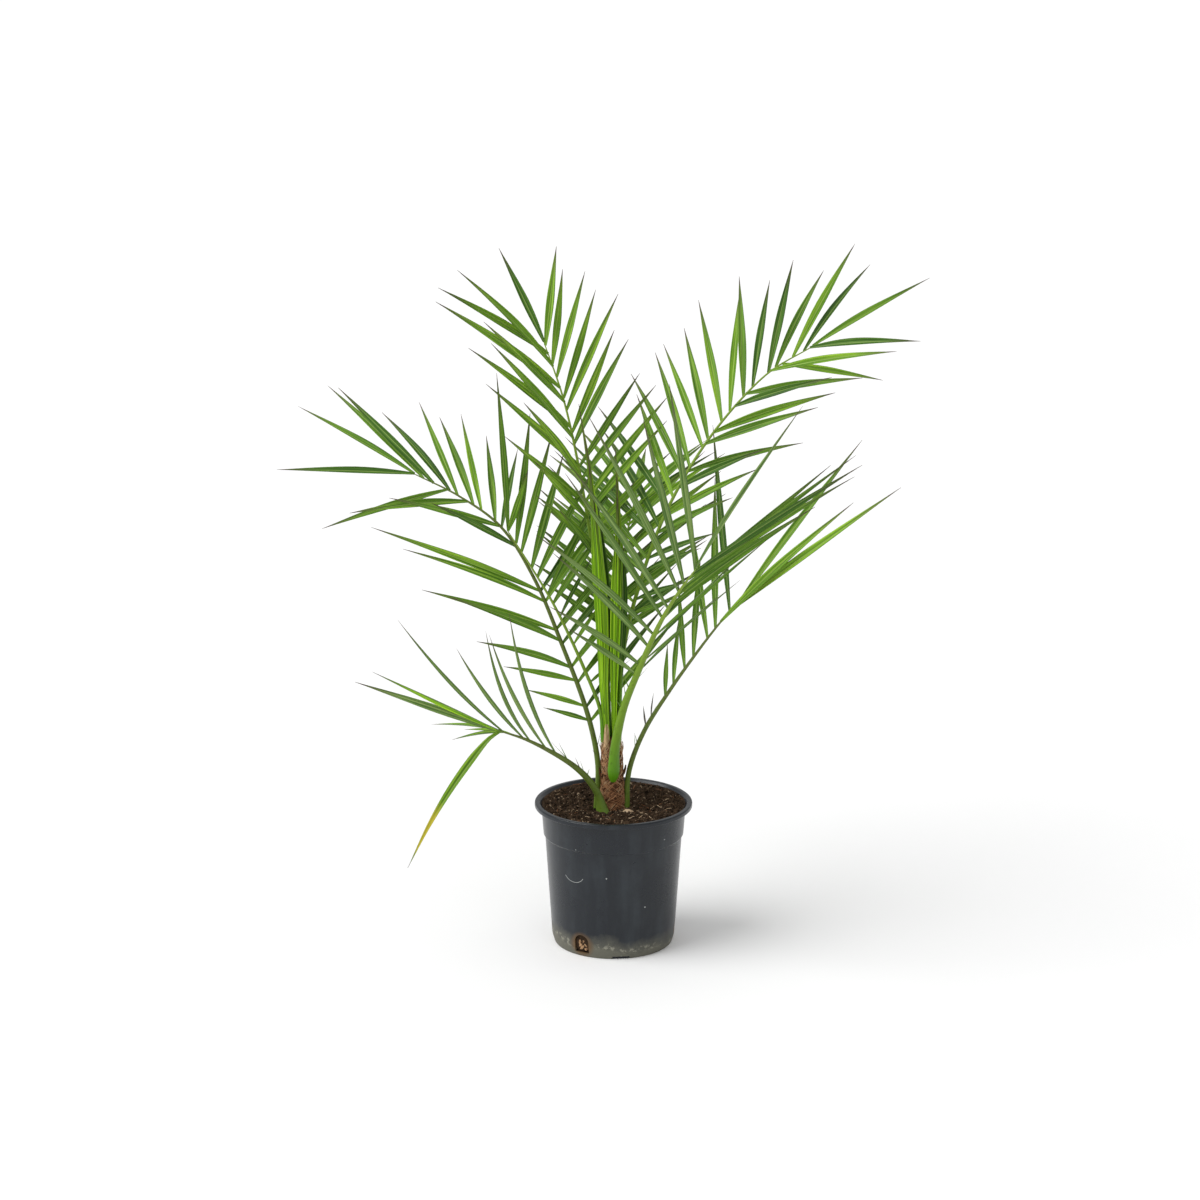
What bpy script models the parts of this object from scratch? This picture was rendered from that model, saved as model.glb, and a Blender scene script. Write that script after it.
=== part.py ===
"""Young date palm in a nursery pot, modelled as separate solids in metres, +Z up.

The origin is the middle of the pot's flat underside. A frond is a tapering stalk and, past its
first leaflet, a thin blade of the outline that its leaflets reach. Driving sizes are in mm.
"""
import math
from dataclasses import dataclass, field

import bmesh
import bpy
from mathutils import Matrix, Vector

MM = 0.001
SEAT = 0.3                      # gap that two touching pieces keep

# Pot
RIM_RADIUS = 95.0
RIM_INNER_RADIUS = 89.5
RIM_HEIGHT = 176.0
LIP_DEPTH = 5.6                 # height of the turned-out lip
LIP_ROUND = 1.0
COLLAR_TOP_RADIUS = 87.0
COLLAR_FOOT_RADIUS = 84.5
COLLAR_FOOT = 136.5             # height where the collar steps in
WALL_TOP_RADIUS = 82.5
WALL_TOP = 134.5
WALL_FOOT_RADIUS = 74.5
WALL_FOOT = 10.0
BASE_RADIUS = 71.5
POT_WALL = 2.0
POT_FLOOR = 4.0
POT_STEPS = 48

# Openings at the pot's foot, evenly round it
OPENINGS = 3
DRAIN_AZIMUTH = 239.0
DRAIN_WIDTH = 19.0
DRAIN_BOTTOM = 5.0
DRAIN_TOP = 28.0
DRAIN_ARC_POINTS = 9
NOTCH_AZIMUTH = 277.0
NOTCH_WIDTH = 21.0
NOTCH_HEIGHT = 2.4
CUT_DEPTH = 24.0                # how far a cutter reaches across the wall
NOTCH_DEPTH = 9.0

# Soil and stem
SOIL_TOP = 166.0                # height of the level hollow round the stem
SOIL_HOLLOW_RADIUS = 26.0
SOIL_EDGE = 171.0               # height against the pot's wall
SOIL_GAP = 0.4
STEM_TOP = 250.0
STEM_SECTIONS = (               # x of the middle, height, radius
    (-1.0, SOIL_TOP + SEAT, 11.0),
    (-1.0, 178.0, 11.0),
    (-1.5, 192.0, 12.0),
    (-2.3, 215.0, 12.5),
    (-2.7, 235.0, 12.5),
    (-3.0, 244.0, 12.2),
    (-3.0, STEM_TOP, 12.2),
)

# Fronds
CROWN_SEAT = STEM_TOP + 0.5     # height where the inner stalks stand on the stem
SOIL_SEAT = SOIL_TOP + 0.5      # height where the outer stalks stand on the soil
FOOT_RISE = 4.0                 # a stalk leaves its seat upright for this far
BLADE_THICKNESS = 2.0
BLADE_STATIONS = 22
RIB_HALF_WIDTH = 4.0            # a blade's half width where it has no leaflets
NOTCH_REACH = 0.82              # reach between two leaflet tips, as a part of the full reach
TIP_HALF_WIDTH = 3.0
STALK_POINTS = 18
STALK_END_RADIUS = 2.2
PATH_SAMPLES = 121


@dataclass
class Row:
    """Leaflets along one side of a rib, from its fraction first to its fraction last."""
    side: int                   # +1 left of the rib looking outwards, -1 right
    first: float
    last: float
    splay: tuple                # degrees away from the rib, first and last leaflet
    lift: float                 # degrees towards the upper face
    length: tuple               # mm, first and last leaflet
    bulge: float = 0.0          # mm added half-way along the row
    solid: float = 1.0          # part of the length that the blade fills


@dataclass
class Frond:
    """One frond: where it stands, the path of its rib and the rows of its leaflets."""
    name: str
    azimuth: float              # degrees, 0 towards +X
    foot: tuple                 # x, y
    foot_radius: float
    path: tuple                 # (distance out from the foot, height)
    rows: tuple
    tips: tuple                 # end leaflets: (degrees off the rib, lift, length)
    colour: tuple = (0.20, 0.36, 0.10)
    split: float = 0.0          # fraction of the rib where the blade is split, or 0
    points: list = field(default_factory=list)


OLD_GREEN = (0.17, 0.27, 0.10)
YOUNG_GREEN = (0.25, 0.42, 0.09)

FRONDS = (
    Frond("tall_left_frond", 130, (-6.0, 5.0), 2.8,
          ((0, CROWN_SEAT), (4, 350), (14, 421), (36, 505), (58, 585), (84, 655), (120, 718)),
          (Row(+1, 0.50, 0.99, (56, 60), 20, (80, 150), 40),
           Row(-1, 0.52, 0.74, (58, 44), 10, (172, 155), 0, 0.45),
           Row(-1, 0.76, 0.99, (43, 28), 10, (153, 135))),
          ((1, 0, 122),), YOUNG_GREEN),
    Frond("tall_right_frond", 25, (5.5, 1.0), 2.8,
          ((0, CROWN_SEAT), (5, 350), (24, 430), (62, 525), (118, 609), (190, 678), (257, 711)),
          (Row(+1, 0.27, 0.42, (80, 74), 15, (120, 200), 0, 0.3),
           Row(+1, 0.44, 0.62, (70, 57), 15, (224, 192), 0, 0.45),
           Row(+1, 0.64, 0.98, (56, 32), 15, (190, 226), -12),
           Row(-1, 0.28, 0.42, (60, 52), -30, (70, 95)),
           Row(-1, 0.44, 0.99, (44, 42), -30, (105, 128), 20)),
          ((1, 0, 178),)),
    Frond("wide_left_frond", 160, (-20.0, 0.0), 3.5,
          ((0, SOIL_SEAT), (-1, 225), (14, 290), (45, 368), (78, 442), (120, 503), (175, 538), (233, 561)),
          (Row(+1, 0.22, 0.58, (58, 48), -45, (64, 212)),
           Row(+1, 0.66, 0.94, (30, 48), -45, (110, 155)),
           Row(-1, 0.22, 0.58, (60, 62), 50, (185, 190), 0, 0.3),
           Row(-1, 0.74, 0.98, (48, 18), 50, (109, 172))),
          ((26, -45, 166), (-6, 30, 175)), OLD_GREEN, 0.62),
    Frond("inner_left_frond", 188, (-12.5, -1.5), 2.4,
          ((0, CROWN_SEAT), (4, 292), (22, 340), (40, 382), (60, 424), (84, 466), (113, 513)),
          (Row(-1, 0.27, 0.60, (78, 68), 65, (35, 95)),
           Row(-1, 0.62, 0.96, (70, 50), 65, (112, 165), 10, 0.55)),
          ((-32, 65, 185),), YOUNG_GREEN),
    Frond("front_right_frond", -45, (-1.0, -18.4), 6.0,
          ((0, 196), (4, 250), (18, 301), (42, 351), (74, 411), (104, 455), (133, 490)),
          (Row(+1, 0.50, 0.99, (29, 25), -15, (200, 250)),
           Row(-1, 0.47, 1.0, (68, 38), 40, (110, 262), 45)),
          ((-6, 0, 284),), YOUNG_GREEN),
    Frond("low_right_frond", 0, (15.0, 0.0), 3.5,
          ((0, SOIL_SEAT), (4, 215), (22, 264), (52, 314), (82, 358), (110, 396), (136, 426)),
          (Row(+1, 0.50, 0.94, (40, 56), 40, (66, 240), -20),
           Row(-1, 0.88, 0.97, (13, 16), -30, (216, 263))),
          ((7, 40, 236),), OLD_GREEN),
    Frond("low_left_frond", 204, (-13.0, -15.0), 5.0,
          ((0, SOIL_SEAT), (6, 189), (20, 211), (40, 231), (68, 251), (100, 270), (132, 284)),
          (Row(+1, 0.60, 0.96, (39, 30), 65, (215, 200), -30),
           Row(-1, 0.92, 1.0, (82, 71), -20, (98, 145))),
          ((6, 65, 187), (-8, -20, 188)), OLD_GREEN),
    Frond("rear_frond", 82, (0.0, 7.0), 2.6,
          ((0, CROWN_SEAT), (12, 330), (40, 400), (85, 450), (140, 485), (200, 505)),
          (Row(+1, 0.40, 0.98, (62, 40), 20, (110, 140), 25, 0.6),
           Row(-1, 0.40, 0.98, (62, 40), 20, (110, 140), 25, 0.6)),
          ((1, 0, 130),)),
)

# Unopened leaves in the heart of the crown: (x, height, radius), all at one depth
SPEAR_Y = -4.5
SPEARS = {
    "left_spear": ((-6.0, CROWN_SEAT, 2.6), (-10, 316, 3.9), (-10, 369, 4.4), (-14, 447, 5.2),
                   (-20, 504, 5.2), (-28, 581, 4.0), (-41, 661, 0.8)),
    "right_spear": ((0.5, CROWN_SEAT, 2.6), (-1, 316, 3.9), (1, 369, 4.4), (3, 447, 5.0),
                    (4, 504, 5.0), (2, 581, 3.4), (1, 612, 1.0)),
}

# Folded leaflet that hangs from the tip of the low left frond: (x, y, height, radius)
HANGING_LEAFLET = ((-136.0, -70.5, 282.7, 1.0), (-150, -75, 271, 2.6), (-187, -76, 220, 4.2),
                   (-217, -76, 170, 4.0), (-244, -76, 117, 0.8))


def clear_scene():
    """Remove every object, so the part starts alone."""
    for old in list(bpy.data.objects):
        bpy.data.objects.remove(old, do_unlink=True)


def new_collection(name):
    """Make a collection in the scene."""
    made = bpy.data.collections.new(name)
    bpy.context.scene.collection.children.link(made)
    return made


def material(name, colour, roughness):
    """Plain material of one colour."""
    made = bpy.data.materials.new(name)
    made.use_nodes = True
    surface = made.node_tree.nodes["Principled BSDF"]
    surface.inputs["Base Color"].default_value = (*colour, 1.0)
    surface.inputs["Roughness"].default_value = roughness
    surface.inputs["Metallic"].default_value = 0.0
    return made


def add_object(name, data, collection, finish=None):
    """Link an object with this data, dressed in one material."""
    made = bpy.data.objects.new(name, data)
    collection.objects.link(made)
    if finish:
        data.materials.append(finish)
    return made


def turned(name, profile, collection, finish):
    """Solid of revolution about Z; the profile runs axis, top, outer side down, axis."""
    outline = bpy.data.meshes.new(name)
    points = [(radius * MM, 0.0, height * MM) for radius, height in profile]
    edges = [(i, i + 1) for i in range(len(points) - 1)]
    outline.from_pydata(points, edges, [])
    made = add_object(name, outline, collection, finish)
    screw = made.modifiers.new("turn", "SCREW")
    screw.axis = "Z"
    screw.angle = math.tau
    screw.steps = POT_STEPS
    screw.render_steps = POT_STEPS
    screw.use_merge_vertices = True
    screw.merge_threshold = 0.00001
    screw.use_smooth_shade = True
    return made


def pot_outer():
    """Outer profile of the pot, from the lip's inner edge down to the middle of the underside."""
    lip_foot = RIM_HEIGHT - LIP_DEPTH
    return [
        (RIM_INNER_RADIUS, RIM_HEIGHT),
        (RIM_RADIUS - LIP_ROUND, RIM_HEIGHT),
        (RIM_RADIUS, RIM_HEIGHT - LIP_ROUND),
        (RIM_RADIUS, lip_foot + LIP_ROUND),
        (RIM_RADIUS - LIP_ROUND, lip_foot),
        (COLLAR_TOP_RADIUS, lip_foot),
        (COLLAR_FOOT_RADIUS, COLLAR_FOOT),
        (WALL_TOP_RADIUS, WALL_TOP),
        (WALL_FOOT_RADIUS, WALL_FOOT),
        (BASE_RADIUS, 0.0),
        (0.0, 0.0),
    ]


def pot_inner():
    """Inner profile of the pot, from the middle of the floor up to the lip."""
    return [
        (0.0, POT_FLOOR),
        (BASE_RADIUS - POT_WALL, POT_FLOOR),
        (WALL_FOOT_RADIUS - POT_WALL, WALL_FOOT + POT_WALL),
        (WALL_TOP_RADIUS - POT_WALL, WALL_TOP - POT_WALL / 2),
        (COLLAR_FOOT_RADIUS - POT_WALL, COLLAR_FOOT + POT_WALL / 2),
        (COLLAR_TOP_RADIUS - POT_WALL, RIM_HEIGHT - LIP_DEPTH),
    ]


def inner_radius(height):
    """Radius of the pot's inner face at a height."""
    wall = pot_inner()[1:]
    for (low_radius, low), (high_radius, high) in zip(wall, wall[1:]):
        if low <= height <= high:
            return low_radius + (high_radius - low_radius) * (height - low) / (high - low)
    return wall[-1][0]


def curve_outline_mesh(name, outline, half_depth):
    """Closed mesh of a flat outline in XY, extruded by half_depth each way."""
    curve = bpy.data.curves.new(name, "CURVE")
    curve.dimensions = "2D"
    curve.fill_mode = "BOTH"
    curve.extrude = half_depth * MM
    spline = curve.splines.new("POLY")
    spline.points.add(len(outline) - 1)
    for point, (x, y) in zip(spline.points, outline):
        point.co = (x * MM, y * MM, 0.0, 1.0)
    spline.use_cyclic_u = True
    guide = bpy.data.objects.new(name, curve)
    bpy.context.scene.collection.objects.link(guide)
    bpy.context.view_layer.update()
    mesh = bpy.data.meshes.new_from_object(guide.evaluated_get(bpy.context.evaluated_depsgraph_get()))
    bpy.data.objects.remove(guide, do_unlink=True)
    shape = bmesh.new()
    shape.from_mesh(mesh)
    bmesh.ops.remove_doubles(shape, verts=shape.verts, dist=0.00001)
    bmesh.ops.recalc_face_normals(shape, faces=shape.faces)
    shape.to_mesh(mesh)
    shape.free()
    return mesh


def radial_cutter(name, outline, azimuth, radius, half_depth, collection):
    """Cutter whose outline (across, height) faces outwards at an azimuth of the pot."""
    cutter = add_object(name, curve_outline_mesh(name, outline, half_depth), collection)
    upright = Matrix.Rotation(math.radians(90), 4, "X")
    turn = Matrix.Rotation(math.radians(azimuth + 90), 4, "Z")
    out = Vector((math.cos(math.radians(azimuth)), math.sin(math.radians(azimuth)), 0.0))
    cutter.matrix_world = Matrix.Translation(out * radius * MM) @ turn @ upright
    cutter.hide_render = True
    cutter.display_type = "WIRE"
    return cutter


def arch_outline():
    """Round-topped drain opening, as (across, height)."""
    half = DRAIN_WIDTH / 2
    spring = DRAIN_TOP - half
    points = [(-half, DRAIN_BOTTOM), (half, DRAIN_BOTTOM)]
    for step in range(DRAIN_ARC_POINTS):
        angle = math.pi * step / (DRAIN_ARC_POINTS - 1)
        points.append((half * math.cos(angle), spring + half * math.sin(angle)))
    return points


def notch_outline():
    """Low slot under the pot's foot, as (across, height)."""
    half = NOTCH_WIDTH / 2
    return [(-half, -1.0), (half, -1.0), (half, NOTCH_HEIGHT), (-half, NOTCH_HEIGHT)]


def build_pot(parts, cutters):
    """Nursery pot with a turned-out lip, a stepped collar, drain arches and foot slots."""
    plastic = material("slate_plastic", (0.085, 0.095, 0.105), 0.45)
    pot = turned("pot", pot_inner() + pot_outer(), parts, plastic)
    for number in range(OPENINGS):
        turn = 360.0 / OPENINGS * number
        arch = radial_cutter(f"drain_cutter_{number}", arch_outline(), DRAIN_AZIMUTH + turn,
                             WALL_FOOT_RADIUS, CUT_DEPTH / 2, cutters)
        notch = radial_cutter(f"notch_cutter_{number}", notch_outline(), NOTCH_AZIMUTH + turn,
                              BASE_RADIUS, NOTCH_DEPTH, cutters)
        for cutter in (arch, notch):
            cut = pot.modifiers.new(cutter.name, "BOOLEAN")
            cut.operation = "DIFFERENCE"
            cut.solver = "EXACT"
            cut.object = cutter


def build_soil(parts):
    """Soil that fills the pot to just under its lip and dips towards the stem."""
    peat = material("peat", (0.055, 0.035, 0.022), 0.95)
    low = POT_FLOOR + SEAT
    heights = [SOIL_EDGE, COLLAR_FOOT + POT_WALL / 2, WALL_TOP - POT_WALL / 2, WALL_FOOT + POT_WALL, low]
    side = [(inner_radius(height) - SOIL_GAP, height) for height in heights]
    top = [(0.0, SOIL_TOP), (SOIL_HOLLOW_RADIUS, SOIL_TOP)]
    turned("soil", [*top, *side, (0.0, low)], parts, peat)


def limb(name, points, radii, collection, finish, rings=2):
    """Tapering round limb through points, with flat ends; rings sets its number of sides."""
    curve = bpy.data.curves.new(name, "CURVE")
    curve.dimensions = "3D"
    curve.bevel_depth = MM
    curve.bevel_resolution = rings
    curve.use_fill_caps = True
    spline = curve.splines.new("POLY")
    spline.points.add(len(points) - 1)
    for target, point, radius in zip(spline.points, points, radii):
        target.co = (*(Vector(point) * MM), 1.0)
        target.radius = radius
    return add_object(name, curve, collection, finish)


def smooth_path(points, samples):
    """Even samples along a smooth curve through the points."""
    known = [Vector(point) for point in points]
    known = [2 * known[0] - known[1], *known, 2 * known[-1] - known[-2]]
    spans = len(known) - 3
    dense = []
    for sample in range(samples):
        place = sample / (samples - 1) * spans
        span = min(int(place), spans - 1)
        t = place - span
        a, b, c, d = known[span:span + 4]
        dense.append(0.5 * (2 * b + (c - a) * t + (2 * a - 5 * b + 4 * c - d) * t ** 2
                            + (3 * b - a - 3 * c + d) * t ** 3))
    walked = [0.0]
    for before, after in zip(dense, dense[1:]):
        walked.append(walked[-1] + (after - before).length)
    even = []
    span = 0
    for sample in range(samples):
        goal = walked[-1] * sample / (samples - 1)
        while span < samples - 2 and walked[span + 1] < goal:
            span += 1
        part = (goal - walked[span]) / (walked[span + 1] - walked[span])
        even.append(dense[span].lerp(dense[span + 1], min(max(part, 0.0), 1.0)))
    return even


def rib_points(frond):
    """Points of a frond's rib, evenly along it, in the part's frame."""
    azimuth = math.radians(frond.azimuth)
    out = Vector((math.cos(azimuth), math.sin(azimuth), 0.0))
    foot = Vector((*frond.foot, 0.0))
    flat = [(reach, height, 0.0) for reach, height in frond.path]
    return [foot + out * point.x + Vector((0.0, 0.0, point.y))
            for point in smooth_path(flat, PATH_SAMPLES)]


def rib_frame(frond, u):
    """Point, direction, left side and upper face of the rib at its fraction u."""
    place = u * (PATH_SAMPLES - 1)
    span = min(int(place), PATH_SAMPLES - 2)
    point = frond.points[span].lerp(frond.points[span + 1], place - span)
    low = max(span - 3, 0)
    high = min(span + 4, PATH_SAMPLES - 1)
    along = (frond.points[high] - frond.points[low]).normalized()
    azimuth = math.radians(frond.azimuth)
    left = Vector((-math.sin(azimuth), math.cos(azimuth), 0.0))
    upper = along.cross(left)
    if upper.z < 0:
        upper.negate()
    return point, along, left, upper


def leaflet_vector(frond, u, angle, lift, length):
    """Way from the rib to a leaflet's tip; the angle is positive on the left side."""
    point, along, left, upper = rib_frame(frond, u)
    away = math.radians(abs(angle))
    raised = math.radians(lift)
    side = 1 if angle >= 0 else -1
    across = math.cos(raised) * side * left + math.sin(raised) * upper
    return (math.cos(away) * along + math.sin(away) * across) * length


def edge_vector(frond, u, side, margin, reach):
    """Way from the rib to the blade's edge on one side, at the fraction u."""
    rows = [row for row in frond.rows if row.side == side]
    for row in rows:
        if row.first - margin <= u <= row.last + margin:
            t = min(max((u - row.first) / (row.last - row.first), 0.0), 1.0)
            splay = row.splay[0] + (row.splay[1] - row.splay[0]) * t
            length = row.length[0] + (row.length[1] - row.length[0]) * t + row.bulge * 4 * t * (1 - t)
            return leaflet_vector(frond, u, side * splay, row.lift, length * row.solid * reach)
    lift = min(rows, key=lambda row: abs(row.first - u)).lift if rows else 0.0
    return leaflet_vector(frond, u, side * 90.0, lift, RIB_HALF_WIDTH)


def blade(frond, name, start, end, collection, finish):
    """Thin blade between two fractions of the rib; one that ends at the tip takes in its end leaflets."""
    step = (end - start) / BLADE_STATIONS
    at_tip = end >= 1.0
    stations = []
    for index in range(BLADE_STATIONS + 1):
        u = start + step * index
        reach = NOTCH_REACH if index % 2 and index < BLADE_STATIONS else 1.0
        point = rib_frame(frond, u)[0]
        edges = [edge_vector(frond, u, side, step / 2, reach) for side in (+1, -1)]
        stations.append((point + edges[0], point, point + edges[1]))
    if at_tip:
        point, _, left, _ = rib_frame(frond, 1.0)
        ends = [point + leaflet_vector(frond, 1.0, *tip) for tip in frond.tips]
        sides = (ends[0] + left * TIP_HALF_WIDTH, ends[-1] - left * TIP_HALF_WIDTH)
        stations.append((sides[0], sides[0].lerp(sides[1], 0.5), sides[1]))
    shape = bmesh.new()
    bmesh.ops.create_grid(shape, x_segments=2, y_segments=len(stations) - 1, size=1.0)
    for vertex in shape.verts:
        column = round(vertex.co.x) + 1
        row = round((vertex.co.y + 1) / 2 * (len(stations) - 1))
        vertex.co = stations[row][column] * MM
    mesh = bpy.data.meshes.new(name)
    shape.to_mesh(mesh)
    shape.free()
    made = add_object(name, mesh, collection, finish)
    shell = made.modifiers.new("thickness", "SOLIDIFY")
    shell.thickness = BLADE_THICKNESS * MM
    shell.offset = 0.0
    return made


def build_stem(parts):
    """Short stem, from its flat cut on the soil to the flat top that carries the inner stalks."""
    fibre = material("brown_fibre", (0.19, 0.11, 0.06), 0.9)
    points = [(x, 0.0, height) for x, height, radius in STEM_SECTIONS]
    radii = [radius for x, height, radius in STEM_SECTIONS]
    limb("stem", points, radii, parts, fibre, rings=4)


def build_frond(frond, parts):
    """One frond: its stalk up to the first leaflet and its blade beyond."""
    frond.points = rib_points(frond)
    finish = material(f"{frond.name}_green", frond.colour, 0.5)
    start = min(row.first for row in frond.rows) - 0.02
    length = sum((b - a).length for a, b in zip(frond.points, frond.points[1:]))
    stop = start - SEAT * 2 / length
    foot = frond.points[0]
    points = [foot, foot + Vector((0.0, 0.0, FOOT_RISE))]
    first = 2 * FOOT_RISE / length
    fractions = [first + (stop - first) * i / (STALK_POINTS - 1) for i in range(STALK_POINTS)]
    points += [rib_frame(frond, u)[0] for u in fractions]
    radii = [frond.foot_radius] * 2
    radii += [frond.foot_radius + (STALK_END_RADIUS - frond.foot_radius) * u / stop for u in fractions]
    limb(f"{frond.name}_stalk", points, radii, parts, finish)
    if frond.split:
        gap = SEAT * 2 / length
        blade(frond, f"{frond.name}_lower_blade", start, frond.split, parts, finish)
        blade(frond, f"{frond.name}_upper_blade", frond.split + gap, 1.0, parts, finish)
    else:
        blade(frond, f"{frond.name}_blade", start, 1.0, parts, finish)


def build_spears(parts):
    """Two leaves in the heart of the crown that are still folded."""
    for name, sections in SPEARS.items():
        finish = material(f"{name}_green", YOUNG_GREEN, 0.5)
        flat = [(x, height, radius) for x, height, radius in sections]
        even = smooth_path(flat, STALK_POINTS)
        foot = Vector((sections[0][0], SPEAR_Y, sections[0][1]))
        points = [foot, foot + Vector((0.0, 0.0, FOOT_RISE))]
        points += [Vector((place.x, SPEAR_Y, place.y)) for place in even[1:]]
        radii = [sections[0][2]] * 2 + [place.z for place in even[1:]]
        limb(name, points, radii, parts, finish)


def build_hanging_leaflet(parts):
    """Folded leaflet that hangs from the low left frond."""
    finish = material("hanging_leaflet_green", (0.30, 0.36, 0.08), 0.55)
    path = smooth_path([section[:3] for section in HANGING_LEAFLET], STALK_POINTS)
    widths = smooth_path([(i, section[3], 0) for i, section in enumerate(HANGING_LEAFLET)], STALK_POINTS)
    limb("hanging_leaflet", path, [width.y for width in widths], parts, finish)


def main():
    """Build every piece in the part's own frame."""
    clear_scene()
    parts = new_collection("potted_date_palm")
    cutters = new_collection("cutters")
    build_pot(parts, cutters)
    build_soil(parts)
    build_stem(parts)
    for frond in FRONDS:
        build_frond(frond, parts)
    build_spears(parts)
    build_hanging_leaflet(parts)


main()
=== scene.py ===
"""Looks of a young date palm in a nursery pot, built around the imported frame.

The crown is built leaflet by leaflet from a seeded rule. Each frond has a table of leaflet rows,
and a Geometry Nodes tree sweeps the folded section of a leaflet along every midrib.
"""

import logging
import math
import random
from dataclasses import dataclass, field
from enum import Enum
from typing import Callable, Iterable, Sequence

import bmesh
import bpy
from mathutils import Euler, Matrix, Vector, noise

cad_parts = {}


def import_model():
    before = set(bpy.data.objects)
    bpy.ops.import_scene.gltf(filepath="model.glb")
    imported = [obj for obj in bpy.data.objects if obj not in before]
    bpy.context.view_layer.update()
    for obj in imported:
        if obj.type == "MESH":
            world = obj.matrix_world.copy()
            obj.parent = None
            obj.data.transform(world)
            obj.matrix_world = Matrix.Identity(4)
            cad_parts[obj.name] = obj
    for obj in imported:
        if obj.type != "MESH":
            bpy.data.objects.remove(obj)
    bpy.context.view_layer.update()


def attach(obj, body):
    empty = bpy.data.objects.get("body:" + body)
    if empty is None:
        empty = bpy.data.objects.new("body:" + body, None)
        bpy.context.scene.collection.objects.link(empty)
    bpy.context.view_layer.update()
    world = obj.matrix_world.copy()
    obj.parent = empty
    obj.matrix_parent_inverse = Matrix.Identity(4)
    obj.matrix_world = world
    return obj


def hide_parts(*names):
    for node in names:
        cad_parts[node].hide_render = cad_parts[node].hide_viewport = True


MM = 0.001
UP = Vector((0.0, 0.0, 1.0))
LOG = logging.getLogger("date_palm")

Colour = tuple[float, float, float]
Pair = tuple[float, float]
BLACK: Colour = (0.0, 0.0, 0.0)
WHITE: Colour = (1.0, 1.0, 1.0)


class Tone(Enum):
    """Kinds of leaf tissue, in the order of a leaflet piece's material slots."""
    FRESH = 0
    MIDDLE = 1
    DEEP = 2
    VIVID = 3
    DRY = 4
    YELLOW = 5
    DEAD = 6


UNDERSIDE_SLOT = len(Tone)


# Materials

class Nodes:
    """Short way to add and join shader or geometry nodes."""

    def __init__(self, tree: bpy.types.NodeTree) -> None:
        """Keep the tree that the nodes go in."""
        self.tree = tree

    def add(self, kind: str, settings: dict | None = None, **inputs: object) -> bpy.types.Node:
        """Add a node.

        Args:
            kind: Blender's name of the node type.
            settings: Properties of the node.
            **inputs: Values or sockets for its inputs, with _ for a space in the name.

        Returns:
            The new node.
        """
        node = self.tree.nodes.new(kind)
        for name, value in (settings or {}).items():
            setattr(node, name, value)
        for name, value in inputs.items():
            self.feed(node.inputs[name.replace("_", " ")], value)
        return node

    def feed(self, socket: bpy.types.NodeSocket, value: object) -> None:
        """Join a socket to an input, or set the input's value."""
        if isinstance(value, bpy.types.NodeSocket):
            self.tree.links.new(value, socket)
        else:
            socket.default_value = value

    def math(self, operation: str, *values: object) -> bpy.types.NodeSocket:
        """Result of a Math node on sockets or numbers."""
        node = self.tree.nodes.new("ShaderNodeMath")
        node.operation = operation
        for socket, value in zip(node.inputs, values):
            self.feed(socket, value)
        return node.outputs[0]

    def plus(self, first: object, second: object) -> bpy.types.NodeSocket:
        """Sum of two sockets or numbers."""
        return self.math("ADD", first, second)

    def minus(self, first: object, second: object) -> bpy.types.NodeSocket:
        """Difference of two sockets or numbers."""
        return self.math("SUBTRACT", first, second)

    def times(self, first: object, second: object) -> bpy.types.NodeSocket:
        """Product of two sockets or numbers."""
        return self.math("MULTIPLY", first, second)

    def over(self, first: object, second: object) -> bpy.types.NodeSocket:
        """Quotient of two sockets or numbers."""
        return self.math("DIVIDE", first, second)

    def noise(self, place: bpy.types.NodeSocket, scale: float, detail: float,
              roughness: float = 0.5) -> bpy.types.NodeSocket:
        """Noise at a place, from 0 to 1."""
        return self.add("ShaderNodeTexNoise", Vector=place, Scale=scale, Detail=detail,
                        Roughness=roughness).outputs["Fac"]

    def ramp(self, factor: object, stops: Sequence[tuple[float, Colour]]) -> bpy.types.NodeSocket:
        """Colour ramp through a few stops."""
        node = self.tree.nodes.new("ShaderNodeValToRGB")
        elements = node.color_ramp.elements
        while len(elements) < len(stops):
            elements.new(0.5)
        for element, (place, colour) in zip(elements, stops):
            element.position = place
            element.color = (*colour, 1.0)
        self.feed(node.inputs[0], factor)
        return node.outputs[0]

    def mix(self, factor: object, first: object, second: object,
            blend: str = "MIX") -> bpy.types.NodeSocket:
        """Mix of two colours."""
        node = self.tree.nodes.new("ShaderNodeMix")
        node.data_type = "RGBA"
        node.blend_type = blend
        self.feed(node.inputs[0], factor)
        for index, value in ((6, first), (7, second)):
            whole = (*value, 1.0) if isinstance(value, tuple) and len(value) == 3 else value
            self.feed(node.inputs[index], whole)
        return node.outputs[2]


def shader(name: str, roughness: float, sheen: float = 0.5
           ) -> tuple[bpy.types.Material, Nodes, bpy.types.Node]:
    """Start a material.

    Args:
        name: The material's name.
        roughness: Roughness of the surface.
        sheen: Level of its reflections, 0.5 for a plain plastic.

    Returns:
        The material, its node helper and its Principled node.
    """
    material = bpy.data.materials.new(name)
    material.use_nodes = True
    surface = material.node_tree.nodes["Principled BSDF"]
    surface.inputs["Roughness"].default_value = roughness
    surface.inputs["Specular IOR Level"].default_value = sheen
    return material, Nodes(material.node_tree), surface


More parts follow.
